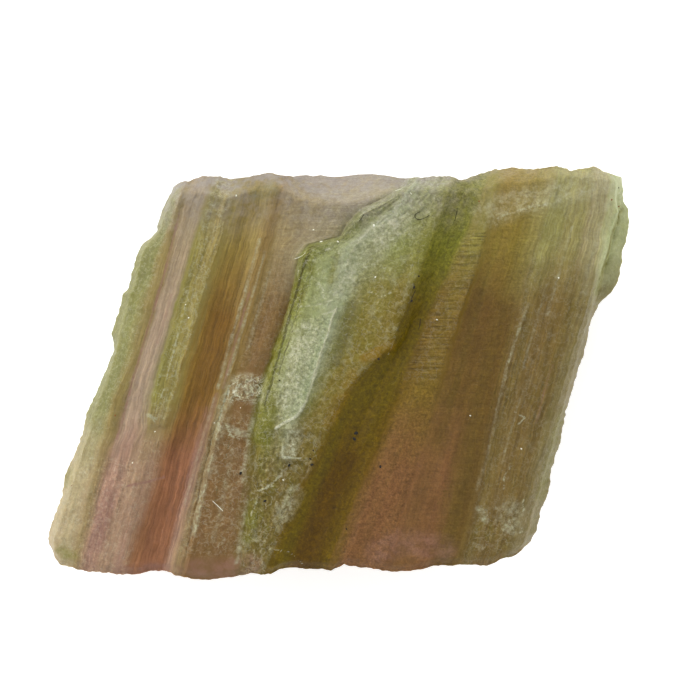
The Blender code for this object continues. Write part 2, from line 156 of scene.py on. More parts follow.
EDGES: dict[Line, Edge] = {
    Line.LEFT_SKIN: Edge(side_across(LEFT_SIDE), ((-8.0, 3.0), (-3.0, 3.4), (4.0, 3.4), (8.0, 3.1))),
    Line.LEFT_SHOULDER: Edge(
        ((-8.0, -9.0), (-6.5, -9.4), (0.5, -9.1), (5.0, -9.15), (5.8, -8.75), (8.0, -8.6)),
        ((-8.0, 4.1), (0.0, 4.5), (8.0, 4.2)),
    ),
    Line.RIM_LINE: Edge(
        ((-8.0, -8.3), (-5.0, -8.55), (-1.0, -8.6), (1.0, -8.4), (8.0, -8.33)),
        ((-8.0, 4.7), (0.0, 5.05), (8.0, 4.8)),
    ),
    Line.STRIP_LEFT_FOOT: Edge(
        ((-8.0, -7.0), (-2.0, -7.05), (-0.6, -7.25), (8.0, -7.32)), ((-8.0, 5.0), (0.0, 5.25), (8.0, 5.1))
    ),
    Line.STRIP_LEFT_EDGE: Edge(
        ((-8.0, -6.85), (-2.0, -6.9), (-0.6, -7.1), (8.0, -7.17)),
        ((-8.0, 5.05), (-2.15, 5.2), (-1.95, 5.33), (5.0, 5.3), (8.0, 5.12)),
    ),
    Line.STRIP_RIGHT_EDGE: Edge(
        ((0.0, -6.25),), ((-8.0, 5.05), (-2.15, 5.2), (-1.95, 5.33), (5.0, 5.28), (8.0, 5.12))
    ),
    Line.STRIP_RIGHT_FOOT: Edge(((0.0, -6.1),), ((-8.0, 5.05), (0.0, 5.25), (8.0, 5.1))),
    Line.BROWN_HOLLOW: Edge(
        ((-8.0, -5.1), (-3.0, -5.35), (8.0, -5.5)), ((-8.0, 4.95), (0.0, 5.15), (8.0, 5.05))
    ),
    Line.STRIATED_RIB: Edge(
        ((-8.0, -4.35), (-2.5, -4.42), (8.0, -4.5)), ((-8.0, 5.25), (0.0, 5.4), (8.0, 5.3))
    ),
    Line.CRUST_FOOT: Edge(
        ((-8.0, -3.9), (-5.0, -4.1), (-2.8, -4.25), (-1.0, -4.2), (-0.2, -4.1), (8.0, -4.1)),
        ((-8.0, 5.2), (0.0, 5.4), (8.0, 5.25)),
    ),
    Line.CRUST_EDGE: Edge(
        ((-8.0, -3.75), (-5.0, -3.92), (-2.8, -4.05), (-1.0, -4.0), (-0.2, -3.85), (8.0, -3.85)),
        ((-8.0, 5.3), (-6.6, 5.45), (-2.0, 5.65), (-0.2, 5.6), (0.1, 5.42), (8.0, 5.25)),
    ),
    Line.LEDGE_FOOT: Edge(
        (
            (-8.0, -1.6), (-5.0, -2.06), (-3.8, -2.25), (-2.2, -2.65), (-0.9, -2.84), (2.8, -2.78),
            (4.7, -2.9), (5.2, -2.65), (5.5, -1.5), (6.0, -1.4), (6.6, -1.05), (6.9, -0.4), (7.2, 0.0),
            (7.5, 0.3), (8.0, 0.5),
        ),
        ((-8.0, 5.4), (-4.0, 5.65), (-1.0, 5.6), (0.0, 5.5), (8.0, 5.35)),
    ),
    Line.LEDGE_EDGE: Edge(
        (
            (-8.0, -1.3), (-5.0, -1.82), (-3.8, -2.05), (-2.2, -2.45), (-0.9, -2.66), (2.8, -2.6),
            (4.6, -2.7), (5.0, -2.4), (5.35, -1.4), (5.8, -1.2), (6.4, -0.85), (6.75, -0.2), (7.0, 0.2),
            (7.4, 0.5), (8.0, 0.7),
        ),
        ((-8.0, 5.5), (-5.5, 5.8), (-3.0, 5.95), (4.7, 6.0), (6.8, 5.95), (8.0, 5.8)),
    ),
    Line.FLAKE_EDGE: Edge(
        (
            (-8.0, -0.95), (-5.0, -1.4), (-2.4, -1.9), (-1.0, -2.15), (2.6, -2.05), (4.6, -2.1), (5.4, -1.1),
            (7.0, 0.4), (8.0, 0.9),
        ),
        ((-8.0, 5.6), (-5.5, 5.9), (-2.3, 6.05), (-2.1, 6.2), (2.5, 6.25), (3.2, 6.15), (8.0, 5.9)),
    ),
    Line.FLAKE_RIDGE: Edge(
        (
            (-8.0, -0.75), (-5.0, -1.1), (-2.1, -1.3), (-1.0, -0.98), (2.6, -0.84), (4.3, -0.74), (5.0, -0.9),
            (5.8, -0.2), (6.4, 0.43), (7.4, 0.8), (8.0, 1.1),
        ),
        ((-8.0, 5.7), (-5.5, 6.0), (-2.35, 6.1), (-2.15, 6.4), (2.5, 6.45), (3.4, 6.32), (8.0, 6.0)),
    ),
    Line.CREST: Edge(
        (
            (-8.0, -0.6), (-5.0, -0.34), (-3.6, 0.05), (-2.6, 0.24), (-1.0, 0.37), (0.1, 0.93), (1.2, 1.8),
            (2.3, 1.9), (5.6, 2.06), (8.0, 2.3),
        ),
        ((-8.0, 5.7), (-5.5, 6.0), (-3.0, 6.15), (0.0, 6.25), (6.0, 6.25), (8.0, 6.05)),
    ),
    Line.VALLEY: Edge(
        (
            (-8.0, 0.95), (-5.4, 1.05), (-3.6, 1.2), (-1.8, 1.5), (0.2, 1.9), (2.6, 2.5), (4.2, 2.6),
            (6.0, 2.8), (8.0, 3.0),
        ),
        ((-8.0, 5.45), (-3.0, 5.75), (6.0, 5.9), (8.0, 5.75)),
    ),
    Line.FLANK_FOOT: Edge(
        (
            (-8.0, 1.85), (-5.4, 2.05), (-3.6, 2.33), (-1.8, 2.52), (0.2, 2.74), (2.6, 2.93), (4.0, 3.2),
            (6.0, 3.54), (8.0, 3.7),
        ),
        ((-8.0, 5.5), (-3.0, 5.8), (0.0, 5.95), (6.0, 6.0), (8.0, 5.8)),
    ),
    Line.FACET_EDGE: Edge(
        ((-8.0, 3.9), (1.4, 4.08), (4.6, 4.27), (8.0, 4.1)),
        ((-8.0, 5.6), (-3.0, 5.8), (0.0, 5.9), (3.0, 6.05), (6.0, 6.0), (8.0, 5.8)),
    ),
    Line.FACET_FOOT: Edge(
        ((-8.0, 4.1), (1.4, 4.25), (4.6, 4.45), (8.0, 4.3)),
        ((-8.0, 5.6), (0.0, 5.84), (6.0, 5.9), (8.0, 5.75)),
    ),
    Line.PLATE_EDGE: Edge(
        ((-8.0, 7.1), (-5.0, 6.94), (-2.6, 6.7), (-0.2, 6.54), (3.0, 6.33), (8.0, 6.3)),
        ((-8.0, 5.4), (0.0, 5.7), (6.0, 5.7), (8.0, 5.6)),
    ),
    Line.TROUGH: Edge(
        ((-8.0, 7.3), (-5.0, 7.14), (-2.6, 6.9), (-0.2, 6.74), (3.0, 6.53), (8.0, 6.5)),
        ((-8.0, 5.35), (-5.0, 5.4), (-4.6, 5.35), (0.0, 5.57), (4.0, 5.66), (8.0, 5.58)),
    ),
    Line.BAND_LINE: Edge(
        ((-8.0, 8.9), (-4.6, 9.0), (3.4, 9.1), (7.0, 8.75), (8.0, 8.5)), ((-8.0, 4.9), (0.0, 5.3), (8.0, 5.3))
    ),
    Line.RIGHT_SHOULDER: Edge(
        ((-8.0, 9.35), (3.0, 9.28), (6.5, 9.2), (7.2, 8.9), (8.0, 8.7)),
        ((-8.0, 4.45), (0.0, 4.9), (8.0, 4.95)),
    ),
    Line.SHELF_FOOT: Edge(
        ((-8.0, 9.5), (2.1, 9.36), (3.0, 9.45), (5.0, 9.42), (6.4, 9.34), (7.1, 9.05), (8.0, 8.85)),
        ((-8.0, 3.95), (2.2, 4.35), (3.0, 3.8), (6.6, 3.9), (7.3, 4.4), (8.0, 4.4)),
    ),
    Line.RIGHT_SKIN: Edge(
        side_across(RIGHT_SIDE), ((-8.0, 3.4), (2.2, 3.7), (3.0, 3.4), (6.6, 3.5), (7.3, 3.8), (8.0, 3.6))
    ),
}


def followed(pairs: Pairs, where: np.ndarray | float) -> np.ndarray:
    """Reads a polyline.

    Args:
        pairs: The polyline's points, the coordinate that is known first.
        where: The known coordinate, one value or many.

    Returns:
        The other coordinate there.
    """
    return np.interp(where, [pair[0] for pair in pairs], [pair[1] for pair in pairs])


def smooth_step(value: np.ndarray | float) -> np.ndarray:
    """Gives 0 below 0, 1 above 1, and an even curve between them."""
    held = np.clip(value, 0.0, 1.0)
    return held * held * (3 - 2 * held)


def rough(
    place: Callable[[float, float], tuple[float, float, float]], across: np.ndarray, y: np.ndarray
) -> np.ndarray:
    """Reads smooth noise over the face.

    Args:
        place: Where in the noise a point of the face lies.
        across: Each point's distance across the prism.
        y: Each point's y.

    Returns:
        Noise between about -1 and 1 for each point.
    """
    values = [noise.noise(Vector(place(a, b))) for a, b in zip(across.flat, y.flat)]
    return np.array(values).reshape(across.shape)


@dataclass(frozen=True)
class Zone:
    """A part of the broad face between two edges, with what its surface is like there.

    Frost is a white crust, grain is how rough the mesh is, flutes how deeply it is grooved along the prism,
    streaks how strongly its colour follows the prism, cracks how much of a net of fine cracks shows, clouds
    how much pale and green it is veined with, ticks how much fine lines run level across it, and grit how
    strongly it is speckled with fine light and dark grains.
    """

    first: Line
    last: Line
    bottom: float = -9.0
    top: float = 9.0
    softness: float = 0.25
    end_softness: float = 0.5
    frost: float = 0.0
    grain: float = 0.0
    flutes: float = 0.0
    streaks: float = 0.0
    cracks: float = 0.0
    clouds: float = 0.0
    ticks: float = 0.0
    grit: float = 0.4


ZONES: tuple[Zone, ...] = (
    Zone(Line.LEFT_SKIN, Line.RIM_LINE, frost=0.2, grain=0.03, flutes=0.04, streaks=0.5, clouds=0.1),
    Zone(Line.RIM_LINE, Line.STRIP_LEFT_FOOT, frost=0.05, grain=0.01, flutes=0.035, streaks=1.0, grit=0.1),
    Zone(Line.RIM_LINE, Line.STRIP_LEFT_FOOT, top=-3.0, frost=0.15, grain=0.02, grit=0.8),
    Zone(
        Line.STRIP_LEFT_EDGE, Line.STRIP_RIGHT_EDGE, bottom=-2.2, softness=0.12, frost=0.3, grain=0.03,
        flutes=0.03, streaks=1.2, grit=0.2,
    ),
    Zone(
        Line.STRIP_LEFT_FOOT, Line.STRIP_RIGHT_FOOT, top=-2.2, frost=0.15, grain=0.02, flutes=0.02,
        streaks=0.8,
    ),
    Zone(Line.STRIP_RIGHT_FOOT, Line.CRUST_FOOT, grain=0.006, flutes=0.03, streaks=1.2, grit=0.2),
    Zone(
        Line.CRUST_FOOT, Line.LEDGE_FOOT, bottom=0.0, frost=0.1, grain=0.012, flutes=0.02, streaks=0.7,
        ticks=0.6, grit=0.45,
    ),
    Zone(Line.CRUST_FOOT, Line.LEDGE_FOOT, bottom=-1.3, top=0.2, frost=0.9, grain=0.08, grit=1.4),
    Zone(
        Line.STRIATED_RIB, Line.LEDGE_FOOT, bottom=-7.4, top=-1.2, frost=0.2, grain=0.03, cracks=0.4,
        clouds=0.1, grit=0.7,
    ),
    Zone(Line.LEDGE_FOOT, Line.FLAKE_EDGE, frost=0.15, grain=0.04, streaks=0.9, clouds=0.4, grit=1.3),
    Zone(
        Line.FLAKE_EDGE, Line.FLAKE_RIDGE, bottom=-2.3, top=2.6, frost=0.4, grain=0.025, clouds=0.3,
        grit=1.5,
    ),
    Zone(
        Line.LEDGE_EDGE, Line.CREST, bottom=-8.5, top=-1.8, frost=0.12, grain=0.05, clouds=0.36,
        streaks=0.5, grit=1.2,
    ),
    Zone(Line.LEDGE_EDGE, Line.CREST, bottom=2.2, frost=0.15, grain=0.045, clouds=0.25, grit=0.8),
    Zone(Line.FLAKE_RIDGE, Line.CREST, bottom=-2.6, frost=0.15, grain=0.04, clouds=0.3, grit=1.0),
    Zone(Line.CREST, Line.FLANK_FOOT, grain=0.016, flutes=0.012, streaks=0.6, ticks=0.2, grit=1.6),
    Zone(
        Line.FLANK_FOOT, Line.FACET_EDGE, bottom=-0.5, top=6.0, frost=0.1, grain=0.02, ticks=2.4,
        grit=0.9,
    ),
    Zone(
        Line.FLANK_FOOT, Line.FACET_FOOT, top=0.0, grain=0.014, flutes=0.01, streaks=0.4, ticks=0.5,
        grit=1.5,
    ),
    Zone(
        Line.FLANK_FOOT, Line.FACET_FOOT, bottom=5.5, grain=0.014, flutes=0.01, streaks=0.4, grit=0.5,
    ),
    Zone(
        Line.FACET_FOOT, Line.PLATE_EDGE, grain=0.014, flutes=0.01, streaks=0.5, ticks=0.5, grit=0.8,
    ),
    Zone(
        Line.PLATE_EDGE, Line.BAND_LINE, frost=0.1, grain=0.02, flutes=0.03, streaks=1.1, clouds=0.1,
        grit=0.2,
    ),
    Zone(Line.TROUGH, Line.BAND_LINE, bottom=-7.3, top=-4.9, frost=0.2, grain=0.03, clouds=0.3, grit=0.8),
    Zone(
        Line.BAND_LINE, Line.RIGHT_SKIN, frost=0.15, grain=0.035, flutes=0.03, streaks=0.5, clouds=0.2,
        grit=0.4,
    ),
)


class Tint(IntEnum):
    """What a mark does to the colour under it."""

    PALE = 0
    DARK = auto()
    RUST = auto()
    GREEN = auto()
    ROSE = auto()
    VEIL = auto()


@dataclass(frozen=True)
class Mark:
    """A line, crack, stained patch, painted highlight or painted shade that runs through places on the face,
    given as x and y.
    """

    tint: Tint
    places: Pairs
    width: float = 0.07
    strength: float = 1.0
    lift: float = 0.0


MARKS: tuple[Mark, ...] = (
    # the flake's ridge, its broken end and the blunt plate below it; the pale lines along the ridge to its
    # broken end are painted highlights where it catches the light
    Mark(Tint.PALE, ((-0.08, 2.63), (-0.4, 1.59), (-0.76, 0.55), (-1.0, -0.3)), 0.05, 0.95, 0.05),
    Mark(Tint.PALE, ((-1.0, -0.3), (-1.22, -0.95), (-1.36, -1.25)), 0.045, 0.7, 0.03),
    Mark(Tint.PALE, ((-1.36, -1.25), (-1.64, -1.63), (-2.16, -1.91), (-2.46, -2.11)), 0.06, 1.0, 0.05),
    Mark(Tint.VEIL, ((-1.75, -2.2), (-1.95, -3.1)), 0.3, 0.55, 0.04),
    Mark(Tint.PALE, ((-1.48, -3.29), (-2.2, -3.25), (-2.18, -2.85)), 0.045, 0.8, 0.03),
    Mark(Tint.DARK, ((-1.4, -3.5), (-2.15, -3.45)), 0.12, 0.5, -0.04),
    Mark(Tint.VEIL, ((-1.7, -4.7), (-2.1, -5.5)), 0.3, 0.4),
    Mark(Tint.VEIL, ((-1.3, 1.6), (-1.6, 0.4), (-2.0, -0.9)), 0.5, 0.5),
    Mark(Tint.PALE, ((-0.1, 2.55), (-0.55, 2.42)), 0.05, 0.6),
    Mark(Tint.PALE, ((-3.2, -4.6), (-2.6, -4.4)), 0.05, 0.5, 0.03),
    # veils across the top of the ledge, and the broken steps below its upper corner
    Mark(Tint.PALE, ((2.35, 6.3), (1.9, 5.95), (1.24, 5.75), (0.94, 5.43), (0.59, 4.92)), 0.06, 0.52, 0.02),
    Mark(Tint.VEIL, ((2.3, 6.1), (1.7, 5.5), (1.2, 4.9)), 0.55, 0.55),
    Mark(
        Tint.PALE, ((0.59, 4.92), (0.38, 4.51), (0.32, 4.05), (0.08, 3.49), (-0.18, 3.13)), 0.06, 0.52, 0.02,
    ),
    Mark(Tint.VEIL, ((0.75, 4.7), (0.45, 3.9), (0.2, 3.3)), 0.35, 0.45),
    Mark(Tint.PALE, ((-0.6, 4.95), (-0.2, 5.0), (0.05, 4.8)), 0.05, 0.6, 0.03),
    Mark(Tint.PALE, ((-1.5, 2.7), (-0.9, 2.75), (-0.3, 2.95)), 0.05, 0.5, 0.03),
    Mark(Tint.PALE, ((-0.8, 4.3), (-0.75, 3.6)), 0.05, 0.45, 0.02),
    Mark(Tint.PALE, ((-1.1, 4.0), (-0.6, 3.4), (-0.55, 3.0)), 0.05, 0.5, 0.03),
    Mark(Tint.PALE, ((1.9, 5.2), (2.5, 5.6), (3.0, 5.5)), 0.05, 0.45, 0.02),
    Mark(Tint.PALE, ((0.9, 4.2), (1.5, 4.4), (1.9, 4.2)), 0.05, 0.45, 0.03),
    Mark(Tint.PALE, ((1.2, 3.3), (1.7, 3.1), (2.2, 3.3)), 0.05, 0.42, 0.03),
    # the dark lines and olive patches inside the ledge's left side
    Mark(
        Tint.DARK, ((-1.05, 5.1), (-1.28, 4.45), (-1.5, 3.75), (-1.72, 3.0), (-2.0, 2.0)), 0.055, 0.8, -0.05,
    ),
    Mark(Tint.DARK, ((-2.0, 2.0), (-2.28, 0.95), (-2.6, -0.2), (-2.9, -1.2)), 0.05, 0.7, -0.05),
    Mark(Tint.DARK, ((-1.3, 3.6), (-1.62, 2.5), (-1.95, 1.3), (-2.35, 0.0)), 0.04, 0.6, -0.02),
    Mark(Tint.GREEN, ((-1.5, 3.5), (-1.65, 2.9)), 0.25, 0.8),
    Mark(Tint.GREEN, ((-2.65, -1.0), (-2.95, -2.5)), 0.35, 0.85),
    Mark(Tint.GREEN, ((-1.2, 4.9), (-1.1, 4.2)), 0.2, 0.5),
    Mark(Tint.DARK, ((-0.9, 5.15), (-0.3, 4.75), (0.1, 4.4)), 0.1, 0.38, -0.03),
    Mark(Tint.DARK, ((0.3, 5.5), (0.75, 5.9), (1.1, 6.3)), 0.1, 0.36, -0.03),
    Mark(Tint.DARK, ((3.3, 5.6), (3.2, 4.9), (2.9, 4.2)), 0.1, 0.36, -0.02),
    Mark(Tint.GREEN, ((0.0, 4.9), (-0.15, 4.3), (-0.3, 3.7)), 0.12, 0.5, -0.03),
    Mark(Tint.GREEN, ((-3.35, -5.2), (-3.55, -6.4)), 0.28, 0.6),
    Mark(Tint.PALE, ((-3.2, -5.0), (-3.45, -5.6)), 0.045, 0.55, 0.02),
    Mark(Tint.PALE, ((-2.9, -4.5), (-2.5, -4.2), (-2.2, -3.9)), 0.06, 0.5, 0.03),
    # the grey patch of painted shade on the right slope of the flake's ridge, the rust and the soft right
    # boundary of the ledge
    Mark(Tint.DARK, ((0.5, 2.75), (0.35, 2.0), (0.1, 1.2), (-0.1, 0.5)), 0.3, 0.4),
    Mark(Tint.RUST, ((2.1, 1.2), (1.5, 0.85), (1.1, 0.7)), 0.2, 0.5),
    Mark(Tint.RUST, ((0.6, 0.0), (0.1, -0.9), (-0.4, -1.8)), 0.25, 0.3),
    Mark(Tint.DARK, ((3.1, 4.0), (2.95, 3.3), (2.75, 2.5), (2.3, 1.7)), 0.06, 0.42),
    Mark(Tint.PALE, ((2.22, 1.45), (2.12, 1.1), (2.0, 0.84)), 0.03, 0.55, 0.02),
    # light ribs to the left of the ledge
    Mark(Tint.VEIL, ((-3.1, 5.4), (-3.68, 3.3), (-4.3, 1.2), (-4.75, -0.5)), 0.05, 0.45, 0.04),
    Mark(Tint.VEIL, ((-2.9, 4.9), (-3.36, 3.3), (-3.95, 1.3), (-4.35, 0.0)), 0.045, 0.4, 0.03),
    Mark(Tint.VEIL, ((-2.7, 4.1), (-3.05, 2.9), (-3.6, 1.0)), 0.045, 0.3, 0.02),
    Mark(Tint.VEIL, ((-4.9, -0.9), (-5.5, -3.0), (-6.1, -5.2)), 0.05, 0.25, 0.02),
    Mark(Tint.DARK, ((-3.45, 5.2), (-4.0, 3.2), (-4.6, 1.1)), 0.06, 0.38, -0.02),
    Mark(Tint.ROSE, ((-3.5, 3.3), (-4.1, 1.2), (-4.55, -0.5)), 0.05, 0.5),
    Mark(Tint.ROSE, ((-4.8, -0.8), (-5.3, -2.4), (-5.75, -3.8), (-6.1, -5.2)), 0.09, 0.35, 0.02),
    Mark(Tint.ROSE, ((-5.2, -1.3), (-5.6, -2.8), (-6.0, -4.2)), 0.05, 0.3, 0.02),
    # crust, its ragged ridge and the needle in it
    Mark(Tint.VEIL, ((-4.1, -0.45), (-3.6, -0.4), (-3.2, -0.8)), 0.4, 0.4, 0.05),
    Mark(Tint.VEIL, ((-4.24, -0.6), (-4.56, -1.3), (-4.74, -2.41)), 0.22, 0.4, 0.05),
    Mark(Tint.PALE, ((-4.3, -0.4), (-4.6, -1.3), (-4.85, -2.45)), 0.05, 0.5, 0.04),
    Mark(Tint.PALE, ((-4.4, -2.0), (-4.25, -2.4), (-3.85, -2.55)), 0.06, 0.6, 0.04),
    Mark(Tint.VEIL, ((-3.24, -0.73), (-3.5, -2.4), (-3.8, -4.2)), 0.07, 0.4, 0.03),
    Mark(Tint.VEIL, ((-3.65, -5.0), (-3.85, -6.2), (-4.0, -7.4)), 0.07, 0.4, 0.03),
    Mark(Tint.VEIL, ((-4.74, -2.41), (-5.2, -4.09), (-5.48, -5.21), (-5.76, -6.33)), 0.1, 0.45, 0.04),
    Mark(Tint.VEIL, ((-4.2, -3.0), (-4.5, -4.6), (-4.9, -6.6)), 0.08, 0.22, 0.02),
    Mark(Tint.VEIL, ((-4.6, -1.95), (-4.1, -2.2), (-3.6, -2.4)), 0.12, 0.5, 0.04),
    Mark(Tint.PALE, ((-4.88, -3.85), (-4.1, -3.75), (-3.3, -3.98)), 0.035, 0.46, 0.02),
    Mark(Tint.PALE, ((-3.32, -6.8), (-1.9, -7.0), (-1.3, -7.6)), 0.035, 0.45, 0.02),
    Mark(Tint.DARK, ((-4.3, -2.6), (-4.6, -3.9), (-4.9, -5.2)), 0.07, 0.42, -0.02),
    Mark(Tint.DARK, ((-3.7, -2.5), (-3.95, -3.9), (-4.3, -5.4)), 0.05, 0.38, -0.02),
    # the ends and edges of the strip with painted sparkle highlights, and a crack across its lower end
    Mark(Tint.PALE, ((-7.5, -1.6), (-7.2, -1.8)), 0.12, 0.5, 0.02),
    Mark(Tint.PALE, ((-6.05, 2.9), (-6.2, 2.2), (-6.5, 1.0), (-7.0, -0.9)), 0.035, 0.5, 0.02),
    Mark(Tint.PALE, ((-6.35, 1.6), (-6.6, 0.6)), 0.06, 0.5, 0.02),
    Mark(Tint.GREEN, ((-5.3, 6.6), (-6.0, 4.2), (-6.65, 2.0), (-7.3, -0.2)), 0.06, 0.4, -0.02),
    Mark(Tint.ROSE, ((-6.3, 6.4), (-6.88, 4.07), (-7.5, 2.0), (-8.2, -0.4), (-8.8, -2.6)), 0.04, 0.7, -0.02),
    Mark(Tint.ROSE, ((-8.35, -4.4), (-7.6, -4.25), (-6.9, -4.05)), 0.05, 0.7, -0.02),
    Mark(Tint.ROSE, ((-9.1, -4.8), (-9.6, -6.8)), 0.3, 0.5),
    Mark(Tint.ROSE, ((-6.6, 3.2), (-7.2, 1.2)), 0.04, 0.3),
    # healed fractures and facet edges of the right half
    Mark(Tint.VEIL, ((5.9, 6.05), (6.52, 6.31), (7.14, 6.51), (7.76, 6.71), (8.56, 6.81)), 0.045, 0.5, 0.02),
    Mark(Tint.VEIL, ((5.9, 6.35), (7.0, 6.75), (8.5, 7.1), (10.4, 7.6)), 0.5, 0.25),
    Mark(Tint.VEIL, ((8.56, 6.81), (9.18, 7.17), (10.2, 7.37), (10.72, 7.45)), 0.05, 0.5, 0.02),
    Mark(Tint.DARK, ((5.8, 4.9), (6.64, 4.98), (7.24, 5.07)), 0.04, 0.36, -0.02),
    Mark(Tint.DARK, ((6.1, 6.2), (5.8, 5.3), (5.55, 4.5), (5.2, 3.5), (4.75, 2.2)), 0.06, 0.36),
    Mark(Tint.VEIL, ((7.55, 2.8), (7.24, 2.0), (6.72, 0.39), (6.34, -1.17)), 0.05, 0.32, 0.03),
    Mark(Tint.PALE, ((6.95, 1.1), (6.72, 0.39), (6.5, -0.5)), 0.03, 0.4, 0.02),
    Mark(Tint.VEIL, ((6.34, -1.17), (6.12, -2.41), (5.84, -3.53), (5.5, -4.55)), 0.06, 0.2, 0.02),
    Mark(Tint.VEIL, ((8.3, 3.6), (7.8, 1.9), (7.3, 0.2)), 0.04, 0.25, 0.02),
    Mark(Tint.VEIL, ((9.3, 5.9), (8.8, 4.2), (8.3, 2.4)), 0.04, 0.3, 0.02),
    Mark(Tint.VEIL, ((7.2, -1.0), (6.8, -2.4), (6.5, -3.5)), 0.04, 0.28, 0.02),
    Mark(Tint.DARK, ((8.36, 0.39), (8.12, -0.45), (7.74, -1.85), (7.52, -2.97)), 0.05, 0.42, -0.03),
    Mark(Tint.DARK, ((6.9, 1.7), (6.4, 0.0), (6.05, -1.5), (5.7, -3.0)), 0.05, 0.42, -0.03),
    Mark(Tint.ROSE, ((8.5, 0.39), (8.26, -0.45), (7.88, -1.85)), 0.035, 0.35),
    Mark(Tint.VEIL, ((10.7, 6.9), (10.4, 5.8), (10.05, 4.6), (9.75, 3.2)), 0.12, 0.2),
    Mark(Tint.PALE, ((6.9, -1.4), (7.4, -1.7), (7.1, -2.0)), 0.05, 0.46, 0.03),
    Mark(Tint.PALE, ((6.9, -3.6), (6.6, -4.0), (6.6, -4.5)), 0.05, 0.44, 0.03),
    Mark(Tint.PALE, ((7.37, -4.93), (7.37, -5.6), (7.25, -6.3)), 0.04, 0.55, 0.03),
    Mark(Tint.VEIL, ((6.9, -5.25), (6.85, -6.0)), 0.35, 0.35, 0.02),
    Mark(Tint.VEIL, ((5.6, -5.3), (5.85, -5.75)), 0.12, 0.5),
    Mark(Tint.DARK, ((4.6, -3.2), (4.3, -4.6), (3.8, -5.1)), 0.25, 0.3),
    # the dark line at the foot of the shelf of rim, and the green of the rim
    Mark(Tint.GREEN, ((11.3, 6.6), (10.96, 5.75), (10.76, 4.85), (10.5, 4.0), (10.3, 3.2)), 0.07, 0.9),
    Mark(Tint.GREEN, ((9.0, -1.5), (8.5, -3.2), (8.1, -4.8)), 0.25, 0.4),
    Mark(Tint.GREEN, ((-3.2, 7.2), (-2.6, 7.35)), 0.3, 0.6),
    Mark(Tint.GREEN, ((-10.9, -4.3), (-10.8, -3.8)), 0.2, 0.5),
    Mark(Tint.GREEN, ((-8.3, 3.0), (-8.0, 4.6)), 0.25, 0.35),
    Mark(Tint.GREEN, ((-11.0, -7.0), (-10.6, -7.2)), 0.25, 0.5),
    # the mauve of the bottom end
    Mark(Tint.ROSE, ((-5.6, -7.7), (-4.6, -7.75), (-3.4, -7.5)), 0.4, 0.4),
    Mark(Tint.ROSE, ((-8.5, -7.8), (-7.4, -7.7), (-6.4, -7.8)), 0.25, 0.35),
    Mark(Tint.ROSE, ((1.6, -7.0), (2.6, -6.6), (4.2, -6.9)), 0.5, 0.3),
)

MASKS = (
    "band", "along", "frost", "streaks", "cracks", "clouds", "ticks", "grit", "broken",
    "pale", "dark", "rust", "green", "rose", "veil",
)


def distance_to(places: Pairs, x: np.ndarray, y: np.ndarray) -> np.ndarray:
    """Measures how far points are from a polyline.

    Args:
        places: The polyline's places, x and y.
        x: Each point's x.
        y: Each point's y.

    Returns:
        The shortest distance of each point.
    """
    nearest = np.full(x.shape, np.inf)
    for (x0, y0), (x1, y1) in zip(places, places[1:]):
        length = math.hypot(x1 - x0, y1 - y0)
        share = np.clip(((x - x0) * (x1 - x0) + (y - y0) * (y1 - y0)) / length**2, 0, 1)
        nearest = np.minimum(nearest, np.hypot(x - x0 - share * (x1 - x0), y - y0 - share * (y1 - y0)))
    return nearest


def chips(
    along: np.ndarray, seed: float, coarse_reach: float = 0.035, fine_reach: float = 0.045
) -> np.ndarray:
    """Gives how far small chips set the outline back, below 0 where it bulges out.

    Args:
        along: Where along the outline each point lies.
        seed: Which side of the crystal it is for.
        coarse_reach: How far the larger chips reach.
        fine_reach: How far the smaller ones reach.

    Returns:
        The set-back of each point.
    """
    coarse = np.array([noise.noise(Vector((place * 2.9, seed, 0))) for place in along])
    fine = np.array([noise.noise(Vector((place * 6.3, seed, 4))) for place in along])
    return coarse_reach * coarse + fine_reach * fine


